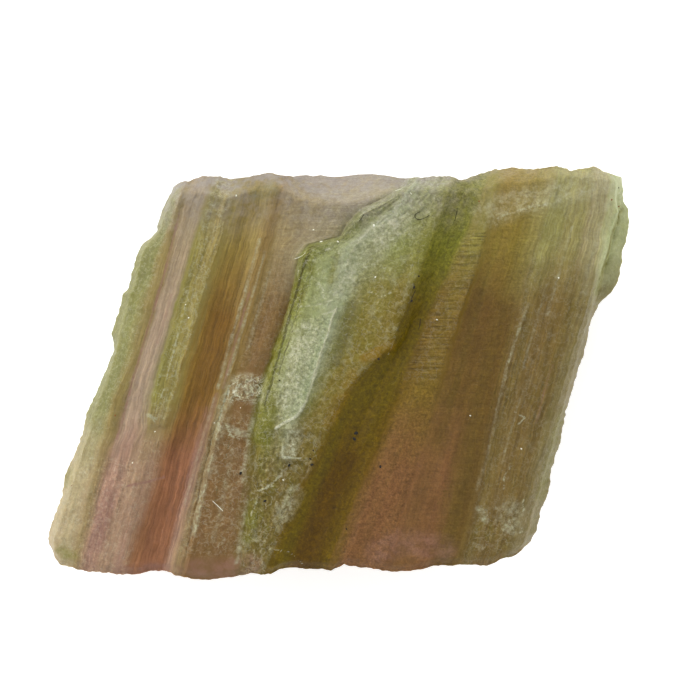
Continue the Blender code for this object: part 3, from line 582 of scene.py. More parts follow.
@dataclass
class BroadFace:
    """The upper face: a fine grid whose columns follow the edges, with flutes, grain and fractures on it."""

    spacing: float = 0.07
    fewest_columns: int = 3
    rows: int = 244
    end_rounds: int = 12
    wander: float = 0.07
    fine_wander: float = 0.035
    chip_reach: float = 0.6
    top_reach: float = 0.06
    bottom_wear: float = 0.12
    bevel_wander: float = 0.08
    bevel_slope: float = 1.6
    bevel_easing: float = 0.2
    scoop_slope: float = 0.3
    bottom_bevel_width: float = 0.35
    bottom_bevel_drop: float = 0.2
    swell: float = 0.08
    broken_grain: float = 0.05
    worn_grain: float = 0.03
    middles: list[float] = field(init=False)
    stations: np.ndarray = field(init=False)
    columns: int = field(init=False)

    def __post_init__(self) -> None:
        """Counts the columns from one edge to the next, so that faces are about as wide everywhere."""
        self.middles = [float(followed(EDGES[line].across, 0.0)) for line in Line]
        counts = [max(self.fewest_columns, round(gap / self.spacing)) for gap in np.diff(self.middles)]
        self.stations = np.cumsum([0] + counts)
        self.columns = int(self.stations[-1])

    def spread(self, column: int, y: np.ndarray | float, height: bool) -> np.ndarray:
        """Reads a column between the two edges that it lies between.

        Args:
            column: The column's number.
            y: Where along it.
            height: Whether to read the height, and not the distance across.

        Returns:
            The height or the distance across at each y.
        """
        first = min(int(np.searchsorted(self.stations, column, side="right")) - 1, len(self.stations) - 2)
        share = (column - self.stations[first]) / (self.stations[first + 1] - self.stations[first])
        near, far = EDGES[Line(first)], EDGES[Line(first + 1)]
        if height:
            return (1 - share) * followed(near.height, y) + share * followed(far.height, y)
        return (1 - share) * followed(near.across, y) + share * followed(far.across, y)

    def end(self, column: int, side: Pairs) -> float:
        """Finds the y at which a column meets a side of the outline.

        Args:
            column: The column's number.
            side: The top or the bottom side.

        Returns:
            The y there.
        """
        y = side[len(side) // 2][1]
        for _ in range(self.end_rounds):
            y = float(followed(side, self.spread(column, y, False) + y * LEAN))
        return y

    def zone_share(self, zone: Zone, column: np.ndarray, y: np.ndarray) -> np.ndarray:
        """Tells how far each point lies inside a zone.

        Args:
            zone: The zone.
            column: Each point's column.
            y: Each point's y.

        Returns:
            0 outside, 1 inside, and between them along the zone's soft edges.
        """
        soft = zone.softness / self.spacing
        low, high = self.stations[zone.first], self.stations[zone.last]
        sides = smooth_step((column - low) / soft + 0.5) * smooth_step((high - column) / soft + 0.5)
        above = smooth_step((y - zone.bottom) / zone.end_softness)
        below = smooth_step((zone.top - y) / zone.end_softness)
        return sides * (above * below)

    def plan(self) -> tuple[np.ndarray, np.ndarray, np.ndarray]:
        """Works out where every point lies as seen from above, and its height before any fine relief.

        Returns:
            Distances across, y and heights, as arrays of columns by rows.
        """
        up = np.linspace(0.0, 1.0, self.rows + 1)
        size = (self.columns + 1, self.rows + 1)
        y, across, height = np.zeros(size), np.zeros(size), np.zeros(size)
        for column in range(self.columns + 1):
            bottom, top = self.end(column, BOTTOM_SIDE), self.end(column, TOP_SIDE)
            y[column] = bottom + up * (top - bottom)
            across[column] = self.spread(column, y[column], False)
            height[column] = self.spread(column, y[column], True)

        near_bottom = smooth_step(1 - (y - y[:, :1]) / self.chip_reach)
        near_top = smooth_step(1 - (y[:, -1:] - y) / self.chip_reach)
        near_left = smooth_step(1 - (across - across[0]) / self.chip_reach)
        near_right = smooth_step(1 - (across[-1] - across) / self.chip_reach)
        wander = self.wander * rough(lambda a, b: (a * 0.4, b * 1.6, 3), across, y)
        wander += self.fine_wander * rough(lambda a, b: (a * 1.2, b * 5.0, 5), across, y)
        y += near_bottom * (self.bottom_wear + chips(across[:, 0], 2.5)[:, None])
        y += near_top * (self.top_reach - chips(across[:, -1], 5.5)[:, None])
        across += wander * (1 - near_left) * (1 - near_right)
        across += near_left * chips(y[0], 8.5) - near_right * chips(y[-1], 11.5)
        return across, y, height

    def lay(self) -> dict[str, np.ndarray]:
        """Works out every point of the face.

        Returns:
            Arrays of columns by rows: x, y, z, across, and each of the masks that the material reads.
        """
        across, y, height = self.plan()
        x = across + y * LEAN
        columns = np.repeat(np.arange(self.columns + 1.0)[:, None], self.rows + 1, axis=1)
        face = {"x": x, "y": y, "across": across, "along": y}
        face["band"] = np.interp(columns, self.stations, self.middles)

        qualities = ("frost", "grain", "flutes", "streaks", "cracks", "clouds", "ticks", "grit")
        face.update({quality: np.zeros(x.shape) for quality in qualities})
        for zone in ZONES:
            share = self.zone_share(zone, columns, y)
            for quality in qualities:
                face[quality] = np.maximum(face[quality], getattr(zone, quality) * share)
        face.update({tint.name.lower(): np.zeros(x.shape) for tint in Tint})
        for mark in MARKS:
            share = mark.strength * (1 - smooth_step(distance_to(mark.places, x, y) / mark.width - 0.5))
            name = mark.tint.name.lower()
            face[name] = np.maximum(face[name], share)
            height += mark.lift * share

        # The sloping fracture along the top end, the scoop below it and the worn bottom end
        wavering = self.bevel_wander * rough(lambda a, b: (a * 2, b * 2, 1), across, y)
        past_bevel = y - followed(TOP_BEVEL_LINE, x) + wavering
        past_scoop = np.where(x > SCOOP_LINE[0][0], y - followed(SCOOP_LINE, x), 0.0)
        from_bottom = y - y[:, :1]
        worn = 1 - smooth_step(from_bottom / self.bottom_bevel_width)
        sloping = np.maximum(past_bevel, 0.0)
        height -= self.bevel_slope * sloping**2 / (sloping + self.bevel_easing)
        height -= self.scoop_slope * np.maximum(past_scoop, 0.0)
        height -= self.bottom_bevel_drop * worn

        # The fracture's broken look: its grain, and a painted lilac sheen of reflected light on the slope
        # with a painted haze below it, weaker towards the right
        hazed = 0.5 * smooth_step(past_bevel / 2.2 + 1.0)
        face["broken"] = np.maximum(smooth_step(past_bevel / 1.2 + 0.3), hazed)
        face["broken"] *= 1 - 0.7 * smooth_step((x - 3.5) / 3.0)
        face["rose"] = np.maximum(face["rose"], 0.1 * worn)

        # Broad swells, the flutes along the prism and the grain
        height += self.swell * rough(lambda a, b: (a * 1.4, b * 0.4, 7), across, y)
        fluting = rough(lambda a, b: (a * 3.1, b * 0.12, 21), across, y)
        fluting += 0.6 * rough(lambda a, b: (a * 7.3, b * 0.2, 27), across, y)
        height += face["flutes"] * (1 - 0.7 * face["broken"]) * fluting
        graining = rough(lambda a, b: (a * 4.0, b * 3.0, 31), across, y)
        graining += 0.8 * rough(lambda a, b: (a * 9.0, b * 7.0, 37), across, y)
        grain = face["grain"] + self.broken_grain * face["broken"] + self.worn_grain * worn
        height += grain * graining
        face["z"] = height
        return face


@dataclass
class Walls:
    """The sides of the crystal, from the outline down to the underside.

    At each of the shares of the way down, the walls have stepped in by the side steps and the end steps, as
    shares of the distance from the middle. Their fracture relief only ever goes inward.
    """

    rings: int = 22
    shares: tuple[float, ...] = (0.0, 0.3, 0.62, 1.0)
    side_steps: tuple[float, ...] = (0.0, 0.006, 0.035, 0.13)
    end_steps: tuple[float, ...] = (0.0, 0.02, 0.05, 0.10)
    roughness: float = 0.012
    unevenness: float = 2.8

    def place(self, across: float, y: float, rim_height: float, down: float) -> Vector:
        """Places a point of a wall.

        Args:
            across: The distance across of the outline's point above it.
            y: The y of that point.
            rim_height: The height of that point.
            down: 0 at the outline and 1 on the underside.

        Returns:
            The point, in millimetres.
        """
        broad = 1 + noise.noise(Vector((across * 0.5, y * 0.5, 5 * down)))
        fine = noise.noise(Vector((across * 1.4, y * 1.4, 6 * down)))
        fine += 0.5 * noise.noise(Vector((across * 4.0, y * 4.0, 15 * down)))
        uneven = self.unevenness * fine * math.sin(math.pi * down)
        inward = self.roughness * max(broad + uneven, 0.0)
        inner_across = across * (1 - float(np.interp(down, self.shares, self.side_steps)) - inward)
        inner_y = y * (1 - float(np.interp(down, self.shares, self.end_steps)) - inward)
        return Vector((inner_across + inner_y * LEAN, inner_y, rim_height * (1 - down)))


class Graph:
    """Adds nodes to a material's tree and joins them."""

    def __init__(self, tree: bpy.types.NodeTree) -> None:
        """Starts on a tree."""
        self.tree = tree

    def add(
        self, kind: str, inputs: dict[str | int, Link] | None = None, **settings: object
    ) -> bpy.types.Node:
        """Adds a node.

        Args:
            kind: The node's type name.
            inputs: What each input is joined to or set to.
            settings: The node's own settings.

        Returns:
            The node.
        """
        node = self.tree.nodes.new(kind)
        for name, value in settings.items():
            setattr(node, name, value)
        for name, value in (inputs or {}).items():
            self.join(node.inputs[name], value)
        return node

    def join(self, socket: Socket, value: Link) -> None:
        """Joins a socket to another, or sets its value."""
        if isinstance(value, Socket):
            self.tree.links.new(value, socket)
        elif isinstance(value, tuple) and len(value) == 3 and socket.type == "RGBA":
            socket.default_value = (*value, 1.0)
        else:
            socket.default_value = value

    def math(self, operation: str, first: Link, second: Link = 0.0, clamp: bool = False) -> Socket:
        """Adds a Math node and gives its result."""
        node = self.add("ShaderNodeMath", {0: first, 1: second}, operation=operation, use_clamp=clamp)
        return node.outputs[0]

    def product(self, *values: Link) -> Socket:
        """Multiplies values together and keeps the result from 0 to 1."""
        result = values[0]
        for value in values[1:]:
            result = self.math("MULTIPLY", result, value, clamp=True)
        return result

    def span(self, value: Link, low: float, high: float) -> Socket:
        """Gives 0 below low, 1 above high and a smooth curve between them."""
        inputs = {"Value": value, "From Min": low, "From Max": high}
        return self.add("ShaderNodeMapRange", inputs, interpolation_type="SMOOTHSTEP").outputs[0]

    def mix(self, amount: Link, first: Link, second: Link, blend: str = "MIX") -> Socket:
        """Mixes two colours and gives the result."""
        node = self.add("ShaderNodeMix", data_type="RGBA", blend_type=blend)
        self.join(node.inputs[0], amount)
        self.join(node.inputs[6], first)
        self.join(node.inputs[7], second)
        return node.outputs[2]

    def swing(self, value: Link, amount: Link) -> Socket:
        """Turns noise around 0.5 into one around 0 that reaches further the larger the amount is."""
        return self.math("MULTIPLY", self.math("SUBTRACT", value, 0.5), amount)

    def varied(self, colour: Link, value: Link, amount: Link) -> Socket:
        """Makes a colour lighter and darker by noise around 0.5."""
        factor = self.math("ADD", self.swing(value, amount), 1.0)
        grey = self.add("ShaderNodeCombineColor", {0: factor, 1: factor, 2: factor}).outputs[0]
        return self.mix(1.0, colour, grey, "MULTIPLY")

    def noise(self, place: Link, scale: float, detail: float = 3.0, roughness: float = 0.55) -> Socket:
        """Adds a Noise Texture node and gives its value."""
        inputs = {"Vector": place, "Scale": scale, "Detail": detail, "Roughness": roughness}
        return self.add("ShaderNodeTexNoise", inputs).outputs[0]

    def stretched(self, parts: Sequence[Link], factors: Sequence[float]) -> Socket:
        """Builds a place from three coordinates, each times its factor."""
        scaled = [self.math("MULTIPLY", part, factor) for part, factor in zip(parts, factors)]
        return self.add("ShaderNodeCombineXYZ", dict(enumerate(scaled))).outputs[0]

    def ramp(self, value: Link, stops: Bands) -> Socket:
        """Adds a Color Ramp node.

        Args:
            value: What it reads.
            stops: Each stop's place, 0 to 1, and colour.

        Returns:
            Its colour.
        """
        node = self.add("ShaderNodeValToRGB", {0: value})
        elements = node.color_ramp.elements
        for number, (place, colour) in enumerate(stops):
            element = elements[number] if number < 2 else elements.new(place)
            element.position = place
            element.color = (*colour, 1.0)
        return node.outputs[0]


def shade(red: int, green: int, blue: int) -> Colour:
    """Turns a colour as a screen shows it into the linear one that shaders use.

    Args:
        red: Red, 0 to 255.
        green: Green, 0 to 255.
        blue: Blue, 0 to 255.

    Returns:
        The linear colour.
    """
    parts = [part / 255 for part in (red, green, blue)]
    linear = [((part + 0.055) / 1.055) ** 2.4 if part > 0.04045 else part / 12.92 for part in parts]
    return linear[0], linear[1], linear[2]


@dataclass(frozen=True)
class Palette:
    """The crystal's own colours, and one sheen that paints a reflection of light on the top fracture."""

    rim_green: Colour = shade(134, 130, 78)
    rim_cream: Colour = shade(172, 154, 118)
    rim_line: Colour = shade(142, 123, 72)
    grey_pink: Colour = shade(159, 143, 110)
    pink_grey: Colour = shade(166, 147, 120)
    mauve: Colour = shade(166, 132, 110)
    yellow_green: Colour = shade(140, 131, 68)
    straw: Colour = shade(156, 140, 80)
    warm_brown: Colour = shade(140, 121, 56)
    brown: Colour = shade(136, 105, 42)
    deep_tan: Colour = shade(121, 89, 28)
    red_brown: Colour = shade(142, 97, 64)
    ribbed: Colour = shade(142, 118, 64)
    rose_tan: Colour = shade(154, 131, 90)
    pink_tan: Colour = shade(174, 158, 130)
    amber: Colour = shade(128, 98, 56)
    edge_green: Colour = shade(112, 105, 26)
    ledge_green: Colour = shade(137, 137, 64)
    ledge_pale: Colour = shade(147, 149, 96)
    ledge_white: Colour = shade(152, 159, 124)
    grey_green: Colour = shade(120, 122, 66)
    olive_tan: Colour = shade(132, 117, 46)
    grey_olive: Colour = shade(114, 98, 38)
    olive_green: Colour = shade(120, 117, 30)
    dark_olive: Colour = shade(103, 85, 0)
    deep_brown: Colour = shade(93, 68, 0)
    golden_brown: Colour = shade(108, 84, 4)
    tan: Colour = shade(123, 99, 30)
    tan_green: Colour = shade(138, 128, 54)
    top_olive: Colour = shade(139, 121, 47)
    top_green: Colour = shade(152, 145, 86)
    right_brown: Colour = shade(109, 83, 31)
    rose_brown: Colour = shade(128, 90, 50)
    right_grey: Colour = shade(121, 100, 48)
    pale_rose: Colour = shade(165, 152, 112)
    skin_green: Colour = shade(178, 182, 132)
    band_green: Colour = shade(126, 113, 66)
    # painted reflection: the soft light mirrored lilac on the sloping top fracture, not the crystal's own
    # colour
    lilac_sheen: Colour = shade(144, 136, 128)
    frost: Colour = shade(178, 178, 148)
    # the brightest cores of pale lines, painted highlight along the flake's ridge, and the crust's scribbles
    bright: Colour = shade(206, 206, 182)
    # dark stains and lines, and the painted shade beside the flake's ridge
    dark_stain_and_shade: Colour = shade(64, 58, 10)
    rust: Colour = shade(148, 112, 20)
    moss: Colour = shade(114, 112, 32)
    rose: Colour = shade(150, 112, 98)
    greener: Colour = (0.90, 1.04, 0.80)
    rosier: Colour = (1.08, 0.95, 1.08)


@dataclass(frozen=True)
class TourmalineFinish:
    """Translucent banded tourmaline: satin, frosted on its crusts and glassy on its dark flank."""

    colours: Palette = Palette()
    ior: float = 1.62
    specular: float = 0.04
    transmission: float = 0.22
    subsurface: float = 0.35
    subsurface_scale: float = 0.00016
    subsurface_radius: Colour = (1.0, 0.85, 0.4)
    absorption: Colour = (0.92, 0.88, 0.02)
    absorption_density: float = 800.0
    half_width: float = 10.0
    waver_reach: float = 0.45
    streak_reach: float = 0.6
    blend_reach: float = 3.5
    lower_blend: tuple[float, float] = (-4.2, -0.5)
    upper_blend: tuple[float, float] = (2.0, 6.0)
    base_roughness: float = 0.28
    bump_strength: float = 0.55
    bump_distance: float = 0.0001

    def top_bands(self) -> Bands:
        """Lists the growth bands near the bevelled end, each with its place across the prism."""
        c = self.colours
        return (
            (-9.6, c.rim_green), (-8.85, c.rim_green), (-8.5, c.rim_line), (-8.15, c.rim_line),
            (-7.95, c.grey_pink), (-7.35, c.grey_pink), (-7.1, c.yellow_green), (-6.3, c.straw),
            (-5.6, c.warm_brown),
            (-5.1, c.warm_brown), (-4.8, c.straw), (-4.3, c.ribbed), (-3.9, c.rose_tan), (-2.95, c.pink_tan),
            (-2.75, c.grey_green), (-2.4, c.grey_green), (-2.1, c.ledge_pale), (-1.2, c.ledge_white),
            (-0.1, c.ledge_pale),
            (0.75, c.ledge_green), (1.05, c.olive_green), (2.5, c.olive_green), (2.8, c.tan_green),
            (3.9, c.tan_green), (4.4, c.top_olive), (5.6, c.top_olive), (6.8, c.top_green),
            (8.1, c.top_green), (8.5, c.pale_rose), (8.95, c.pale_rose), (9.3, c.skin_green),
        )

    def middle_bands(self) -> Bands:
        """Lists the growth bands half way along the prism."""
        c = self.colours
        return (
            (-9.6, c.rim_green), (-8.85, c.rim_green), (-8.5, c.rim_line), (-8.15, c.rim_line),
            (-7.95, c.pink_grey), (-7.35, c.pink_grey), (-7.15, c.yellow_green), (-6.3, c.straw),
            (-5.95, c.brown), (-5.4, c.deep_tan),
            (-4.85, c.deep_tan), (-4.5, c.ribbed), (-3.6, c.amber), (-3.0, c.amber), (-2.8, c.edge_green),
            (-2.5, c.ledge_green), (-2.1, c.ledge_pale), (-1.0, c.ledge_white), (-0.7, c.grey_green),
            (-0.1, c.olive_tan), (0.7, c.olive_tan), (0.9, c.dark_olive), (2.45, c.dark_olive),
            (2.7, c.golden_brown), (3.0, c.tan), (4.0, c.tan), (4.4, c.right_brown), (6.2, c.right_brown),
            (6.8, c.right_grey), (8.5, c.right_grey), (8.9, c.band_green), (9.3, c.band_green),
        )

    def bottom_bands(self) -> Bands:
        """Lists the growth bands near the worn end."""
        c = self.colours
        return (
            (-9.6, c.rim_cream), (-8.8, c.rim_cream), (-8.45, c.rose_tan), (-8.1, c.mauve), (-6.5, c.mauve),
            (-6.0, c.red_brown), (-5.0, c.red_brown), (-4.6, c.mauve), (-4.25, c.rose_tan), (-3.9, c.amber),
            (-3.0, c.amber), (-2.8, c.grey_olive), (0.4, c.grey_olive), (0.9, c.golden_brown),
            (1.2, c.dark_olive), (1.6, c.deep_brown), (2.1, c.deep_brown), (2.6, c.golden_brown),
            (3.1, c.rose_brown), (5.3, c.rose_brown), (5.9, c.right_brown), (6.3, c.right_brown),
            (6.8, c.right_grey), (8.5, c.right_grey), (9.0, c.band_green),
        )

    def banded(self, graph: Graph, share: Link, bands: Bands) -> Socket:
        """Colours the growth bands.

        Args:
            graph: The material's tree.
            share: How far across the prism, 0 to 1.
            bands: Each band's place across, in millimetres, and colour.

        Returns:
            The colour.
        """
        return graph.ramp(share, [(place / self.half_width / 2 + 0.5, colour) for place, colour in bands])

    def patterns(self, graph: Graph, masks: dict[str, Link]) -> dict[str, Socket]:
        """Makes the noises that the colour, the roughness and the relief share.

        Args:
            graph: The material's tree.
            masks: The mesh's masks by name.

        Returns:
            The noises by name, each around 0.5, and the crack net's distance and cell.
        """
        place = graph.add("ShaderNodeTexCoord").outputs["Object"]
        to_millimetres = {0: place, 1: (1 / MM, 1 / MM, 1 / MM)}
        real = graph.add("ShaderNodeVectorMath", to_millimetres, operation="MULTIPLY").outputs[0]
        x, y, z = graph.add("ShaderNodeSeparateXYZ", {0: real}).outputs
        grown = graph.stretched((masks["band"], masks["along"], z), (1.0, 0.055, 0.3))
        level = graph.stretched((x, y, z), (0.16, 2.4, 1.0))
        bend = graph.add("ShaderNodeTexNoise", {"Vector": real, "Scale": 1.6}).outputs[1]
        bent = graph.mix(0.3, real, graph.mix(1.0, bend, (4.0, 4.0, 4.0), "MULTIPLY"))
        panes = {"Vector": bent, "Scale": 1.15}
        curl = graph.math("ABSOLUTE", graph.swing(graph.noise(real, 2.4, 2.0, 0.6), 1.0))
        return {
            "scribble": graph.math("SUBTRACT", 1.0, graph.span(curl, 0.004, 0.026)),
            "waver": graph.noise(grown, 1.3, 2.0),
            "streak": graph.noise(grown, 6.0, 5.0, 0.7),
            "fibre": graph.noise(grown, 16.0, 2.0),
            "cloud": graph.noise(real, 0.5, 4.0),
            "hue": graph.noise(grown, 1.1, 4.0, 0.6),
            "cleft": graph.noise(graph.stretched((x, y, z), (1.3, 0.8, 1.0)), 1.8, 8.0, 0.68),
            "mottle": graph.noise(real, 2.2, 6.0, 0.65),
            "speckle": graph.noise(real, 6.5, 4.0, 0.7),
            "grit": graph.noise(real, 14.0, 3.0, 0.7),
            "level": graph.noise(level, 4.5, 4.0, 0.7),
            "net": graph.add("ShaderNodeTexVoronoi", panes, feature="DISTANCE_TO_EDGE").outputs[0],
            "cell": graph.add("ShaderNodeTexVoronoi", panes).outputs[1],
        }

    def colour(
        self, graph: Graph, masks: dict[str, Socket], noises: dict[str, Socket]
    ) -> Socket:
        """Works out the surface's colour.

        Args:
            graph: The material's tree.
            masks: The mesh's masks by name.
            noises: The noises by name.

        Returns:
            The colour.
        """
        c = self.colours
        moved = graph.math("ADD", masks["band"], graph.swing(noises["waver"], self.waver_reach))
        moved = graph.math("ADD", moved, graph.swing(noises["streak"], self.streak_reach))
        share = graph.math("ADD", graph.math("DIVIDE", moved, self.half_width * 2), 0.5)
        along = graph.math("ADD", masks["along"], graph.swing(noises["cloud"], self.blend_reach))
        colour = self.banded(graph, share, self.bottom_bands())
        for blend, bands in ((self.lower_blend, self.middle_bands()), (self.upper_blend, self.top_bands())):
            colour = graph.mix(graph.span(along, *blend), colour, self.banded(graph, share, bands))

        # Warmer and cooler clouds, streaks along the prism, level lines and fine mottling
        hue = graph.mix(graph.span(noises["hue"], 0.35, 0.65), c.greener, c.rosier)
        colour = graph.mix(0.35, colour, hue, "MULTIPLY")
        colour = graph.varied(colour, noises["streak"], graph.math("MULTIPLY", masks["streaks"], 1.1))
        colour = graph.varied(colour, noises["fibre"], graph.math("MULTIPLY", masks["streaks"], 1.0))
        colour = graph.varied(colour, noises["level"], graph.math("MULTIPLY", masks["ticks"], 1.0))
        colour = graph.varied(colour, noises["mottle"], 0.5)

        # Panes between fine cracks, then pale and green veins
        colour = graph.varied(colour, noises["cell"], graph.math("MULTIPLY", masks["cracks"], 0.25))
        crack = graph.math("SUBTRACT", 1.0, graph.span(noises["net"], 0.0, 0.06))
        crack = graph.product(crack, masks["cracks"], graph.span(noises["mottle"], 0.45, 0.6), 0.5)
        colour = graph.mix(crack, colour, c.frost)
        pale_vein = graph.span(noises["cleft"], 0.52, 0.6)
        colour = graph.mix(graph.product(pale_vein, masks["clouds"], 0.6), colour, c.frost)
        green_vein = graph.math("SUBTRACT", 1.0, graph.span(noises["cleft"], 0.38, 0.46))
        colour = graph.mix(graph.product(green_vein, masks["clouds"], 0.8), colour, c.moss)

        # Soft stains, veils and the painted lilac sheen of reflected light on the top fracture, then crisp
        # ragged lines, frost, scribbles and grains
        ragged = graph.math("ADD", graph.span(noises["mottle"], 0.35, 0.65), 0.45)
        for name, tint in (("rose", c.rose), ("green", c.moss), ("rust", c.rust)):
            colour = graph.mix(graph.product(masks[name], ragged), colour, tint)
        frayed = graph.math("ADD", graph.span(noises["speckle"], 0.38, 0.64), 0.4)
        colour = graph.mix(graph.product(masks["veil"], ragged, frayed), colour, c.frost)
        # painted reflection of the soft light on the sloping top fracture, with its painted haze below
        fracture = graph.varied(c.lilac_sheen, noises["mottle"], 0.8)
        colour = graph.mix(graph.product(masks["broken"], ragged, 0.85), colour, fracture)
        # the crisp pale lines include painted highlights along the flake's ridge and sparkles on the strip,
        # brightest at their cores; the dark ones include painted shade beside the ridge
        crisp = (
            ("dark", 0.28, 0.62, 0.75, c.dark_stain_and_shade),
            ("pale", 0.28, 0.62, 0.8, c.frost),
            ("pale", 0.8, 1.2, 0.8, c.bright),
        )
        for name, low, high, cover, tint in crisp:
            reach = graph.math("ADD", masks[name], graph.swing(noises["speckle"], 1.3))
            colour = graph.mix(graph.product(graph.span(reach, low, high), cover), colour, tint)
        frosted = graph.product(masks["frost"], graph.span(noises["speckle"], 0.48, 0.64), 0.8)
        colour = graph.mix(frosted, colour, c.frost)
        crusted = graph.math("MAXIMUM", masks["frost"], graph.math("MULTIPLY", masks["clouds"], 0.7))
        colour = graph.mix(graph.product(noises["scribble"], crusted, 0.8), colour, c.bright)
        colour = graph.varied(colour, noises["speckle"], graph.math("ADD", masks["grit"], 0.2))
        return graph.varied(colour, noises["grit"], graph.math("ADD", masks["grit"], 0.12))

    def build(self) -> bpy.types.Material:
        """Makes the material.

        Returns:
            The material.
        """
        material = bpy.data.materials.new("watermelon_tourmaline")
        material.use_nodes = True
        graph = Graph(material.node_tree)
        shader = graph.tree.nodes["Principled BSDF"]
        masks = {name: graph.add("ShaderNodeAttribute", attribute_name=name).outputs["Fac"] for name in MASKS}
        noises = self.patterns(graph, masks)
        graph.join(shader.inputs["Base Color"], self.colour(graph, masks, noises))

        roughness = graph.math("ADD", self.base_roughness, graph.math("MULTIPLY", masks["frost"], 0.3))
        roughness = graph.math("ADD", roughness, graph.math("MULTIPLY", noises["mottle"], 0.2), clamp=True)
        graph.join(shader.inputs["Roughness"], roughness)

        relief = graph.math("MULTIPLY", noises["speckle"], 0.8)
        relief = graph.math("ADD", relief, graph.math("MULTIPLY", noises["streak"], masks["streaks"]))
        relief = graph.math("ADD", relief, graph.math("MULTIPLY", noises["level"], masks["ticks"]))
        relief = graph.math("ADD", relief, graph.math("MULTIPLY", noises["grit"], 0.3))
        inputs = {"Height": relief, "Strength": self.bump_strength, "Distance": self.bump_distance}
        bump = graph.add("ShaderNodeBump", inputs)
        graph.join(shader.inputs["Normal"], bump.outputs[0])

        shader.inputs["IOR"].default_value = self.ior
        shader.inputs["Specular IOR Level"].default_value = self.specular
        shader.inputs["Transmission Weight"].default_value = self.transmission
        shader.inputs["Subsurface Weight"].default_value = self.subsurface
        shader.inputs["Subsurface Scale"].default_value = self.subsurface_scale
        shader.inputs["Subsurface Radius"].default_value = self.subsurface_radius
        absorption = graph.add(
            "ShaderNodeVolumeAbsorption", {"Color": self.absorption, "Density": self.absorption_density}
        )
        graph.join(graph.tree.nodes["Material Output"].inputs["Volume"], absorption.outputs[0])
        return material


@dataclass
class Crystal:
    """The whole crystal: its broad face, walls and flat back in one closed mesh."""

    face: BroadFace = field(default_factory=BroadFace)
    walls: Walls = field(default_factory=Walls)
    finish: TourmalineFinish = field(default_factory=TourmalineFinish)
    sharp_angle: float = math.radians(40)

    def build(self) -> bpy.types.Object:
        """Models and dresses the crystal.

        Returns:
            The crystal's object.
        """
        face = self.face.lay()
        mesh = bmesh.new()
        layers = {name: mesh.verts.layers.float.new(name) for name in MASKS}
        across_layer = mesh.verts.layers.float.new("rim_across")
        rim_layer = mesh.verts.layers.float.new("rim_height")

        columns, rows = self.face.columns, self.face.rows
        bmesh.ops.create_grid(mesh, x_segments=columns, y_segments=rows, size=1.0)
        for vertex in mesh.verts:
            at = (round((vertex.co.x + 1) / 2 * columns), round((vertex.co.y + 1) / 2 * rows))
            vertex.co = Vector((face["x"][at], face["y"][at], face["z"][at])) * MM
            for name, layer in layers.items():
                vertex[layer] = face[name][at]
            vertex[across_layer] = face["across"][at]
            vertex[rim_layer] = face["z"][at]

        self.draw_walls(mesh, layers, across_layer, rim_layer)
        data = bpy.data.meshes.new("crystal")
        mesh.to_mesh(data)
        mesh.free()
        data.shade_smooth()
        data.set_sharp_from_angle(angle=self.sharp_angle)
        crystal = bpy.data.objects.new("crystal", data)
        bpy.context.scene.collection.objects.link(crystal)
        crystal.data.materials.append(self.finish.build())
        return crystal

    def draw_walls(
        self,
        mesh: bmesh.types.BMesh,
        layers: dict[str, bmesh.types.BMLayerItem],
        across_layer: bmesh.types.BMLayerItem,
        rim_layer: bmesh.types.BMLayerItem,
    ) -> None:
        """Draws the walls down ring by ring from the outline, and closes them with the flat back.

        Args:
            mesh: The mesh, with the broad face in it.
            layers: The layers that the material reads.
            across_layer: The layer of distances across the prism.
            rim_layer: The layer of heights of the outline.
        """
        ring = [edge for edge in mesh.edges if edge.is_boundary]
        for number in range(1, self.walls.rings + 1):
            down = number / self.walls.rings
            drawn = bmesh.ops.extrude_edge_only(mesh, edges=ring)["geom"]
            ring = [item for item in drawn if isinstance(item, bmesh.types.BMEdge)]
            for vertex in (item for item in drawn if isinstance(item, bmesh.types.BMVert)):
                across, along = vertex[across_layer], vertex[layers["along"]]
                vertex.co = self.walls.place(across, along, vertex[rim_layer], down) * MM
        for vertex in {vertex for edge in ring for vertex in edge.verts}:
            place = vertex.co / MM
            for layer in layers.values():
                vertex[layer] = 0.0
            vertex[layers["band"]] = place.x - place.y * LEAN
            vertex[layers["along"]] = place.y
        bmesh.ops.contextual_create(mesh, geom=ring)
        bmesh.ops.recalc_face_normals(mesh, faces=mesh.faces)


class Grime(IntEnum):
    """What a speck or a fibre on the face is: soot and rust are dirt, the white specks are painted glints of
    light, and the white fibres pale lint.
    """

    SOOT = 0
    RUST = auto()
    GLINT = auto()


@dataclass(frozen=True)
class GrimeFinish:
    """One kind of dirt, slightly mottled and dull, or glinting: the white one paints glints of light on the
    specks and is pale lint on the fibres.
    """

    name: str
    colour: Colour
    roughness: float = 0.8
    mottling: float = 0.5
    mottle_scale: float = 14000.0

    def build(self) -> bpy.types.Material:
        """Makes the material.

        Returns:
            The material.
        """
        material = bpy.data.materials.new(self.name)
        material.use_nodes = True
        graph = Graph(material.node_tree)
        shader = graph.tree.nodes["Principled BSDF"]
        place = graph.add("ShaderNodeTexCoord").outputs["Object"]
        mottle = graph.noise(place, self.mottle_scale, 2.0)
        graph.join(shader.inputs["Base Color"], graph.varied(self.colour, mottle, self.mottling))
        shader.inputs["Roughness"].default_value = self.roughness
        return material


@dataclass(frozen=True)
class Fibre:
    """A thread that lies on the face, through places given as x and y."""

    places: Pairs
    grime: Grime = Grime.SOOT
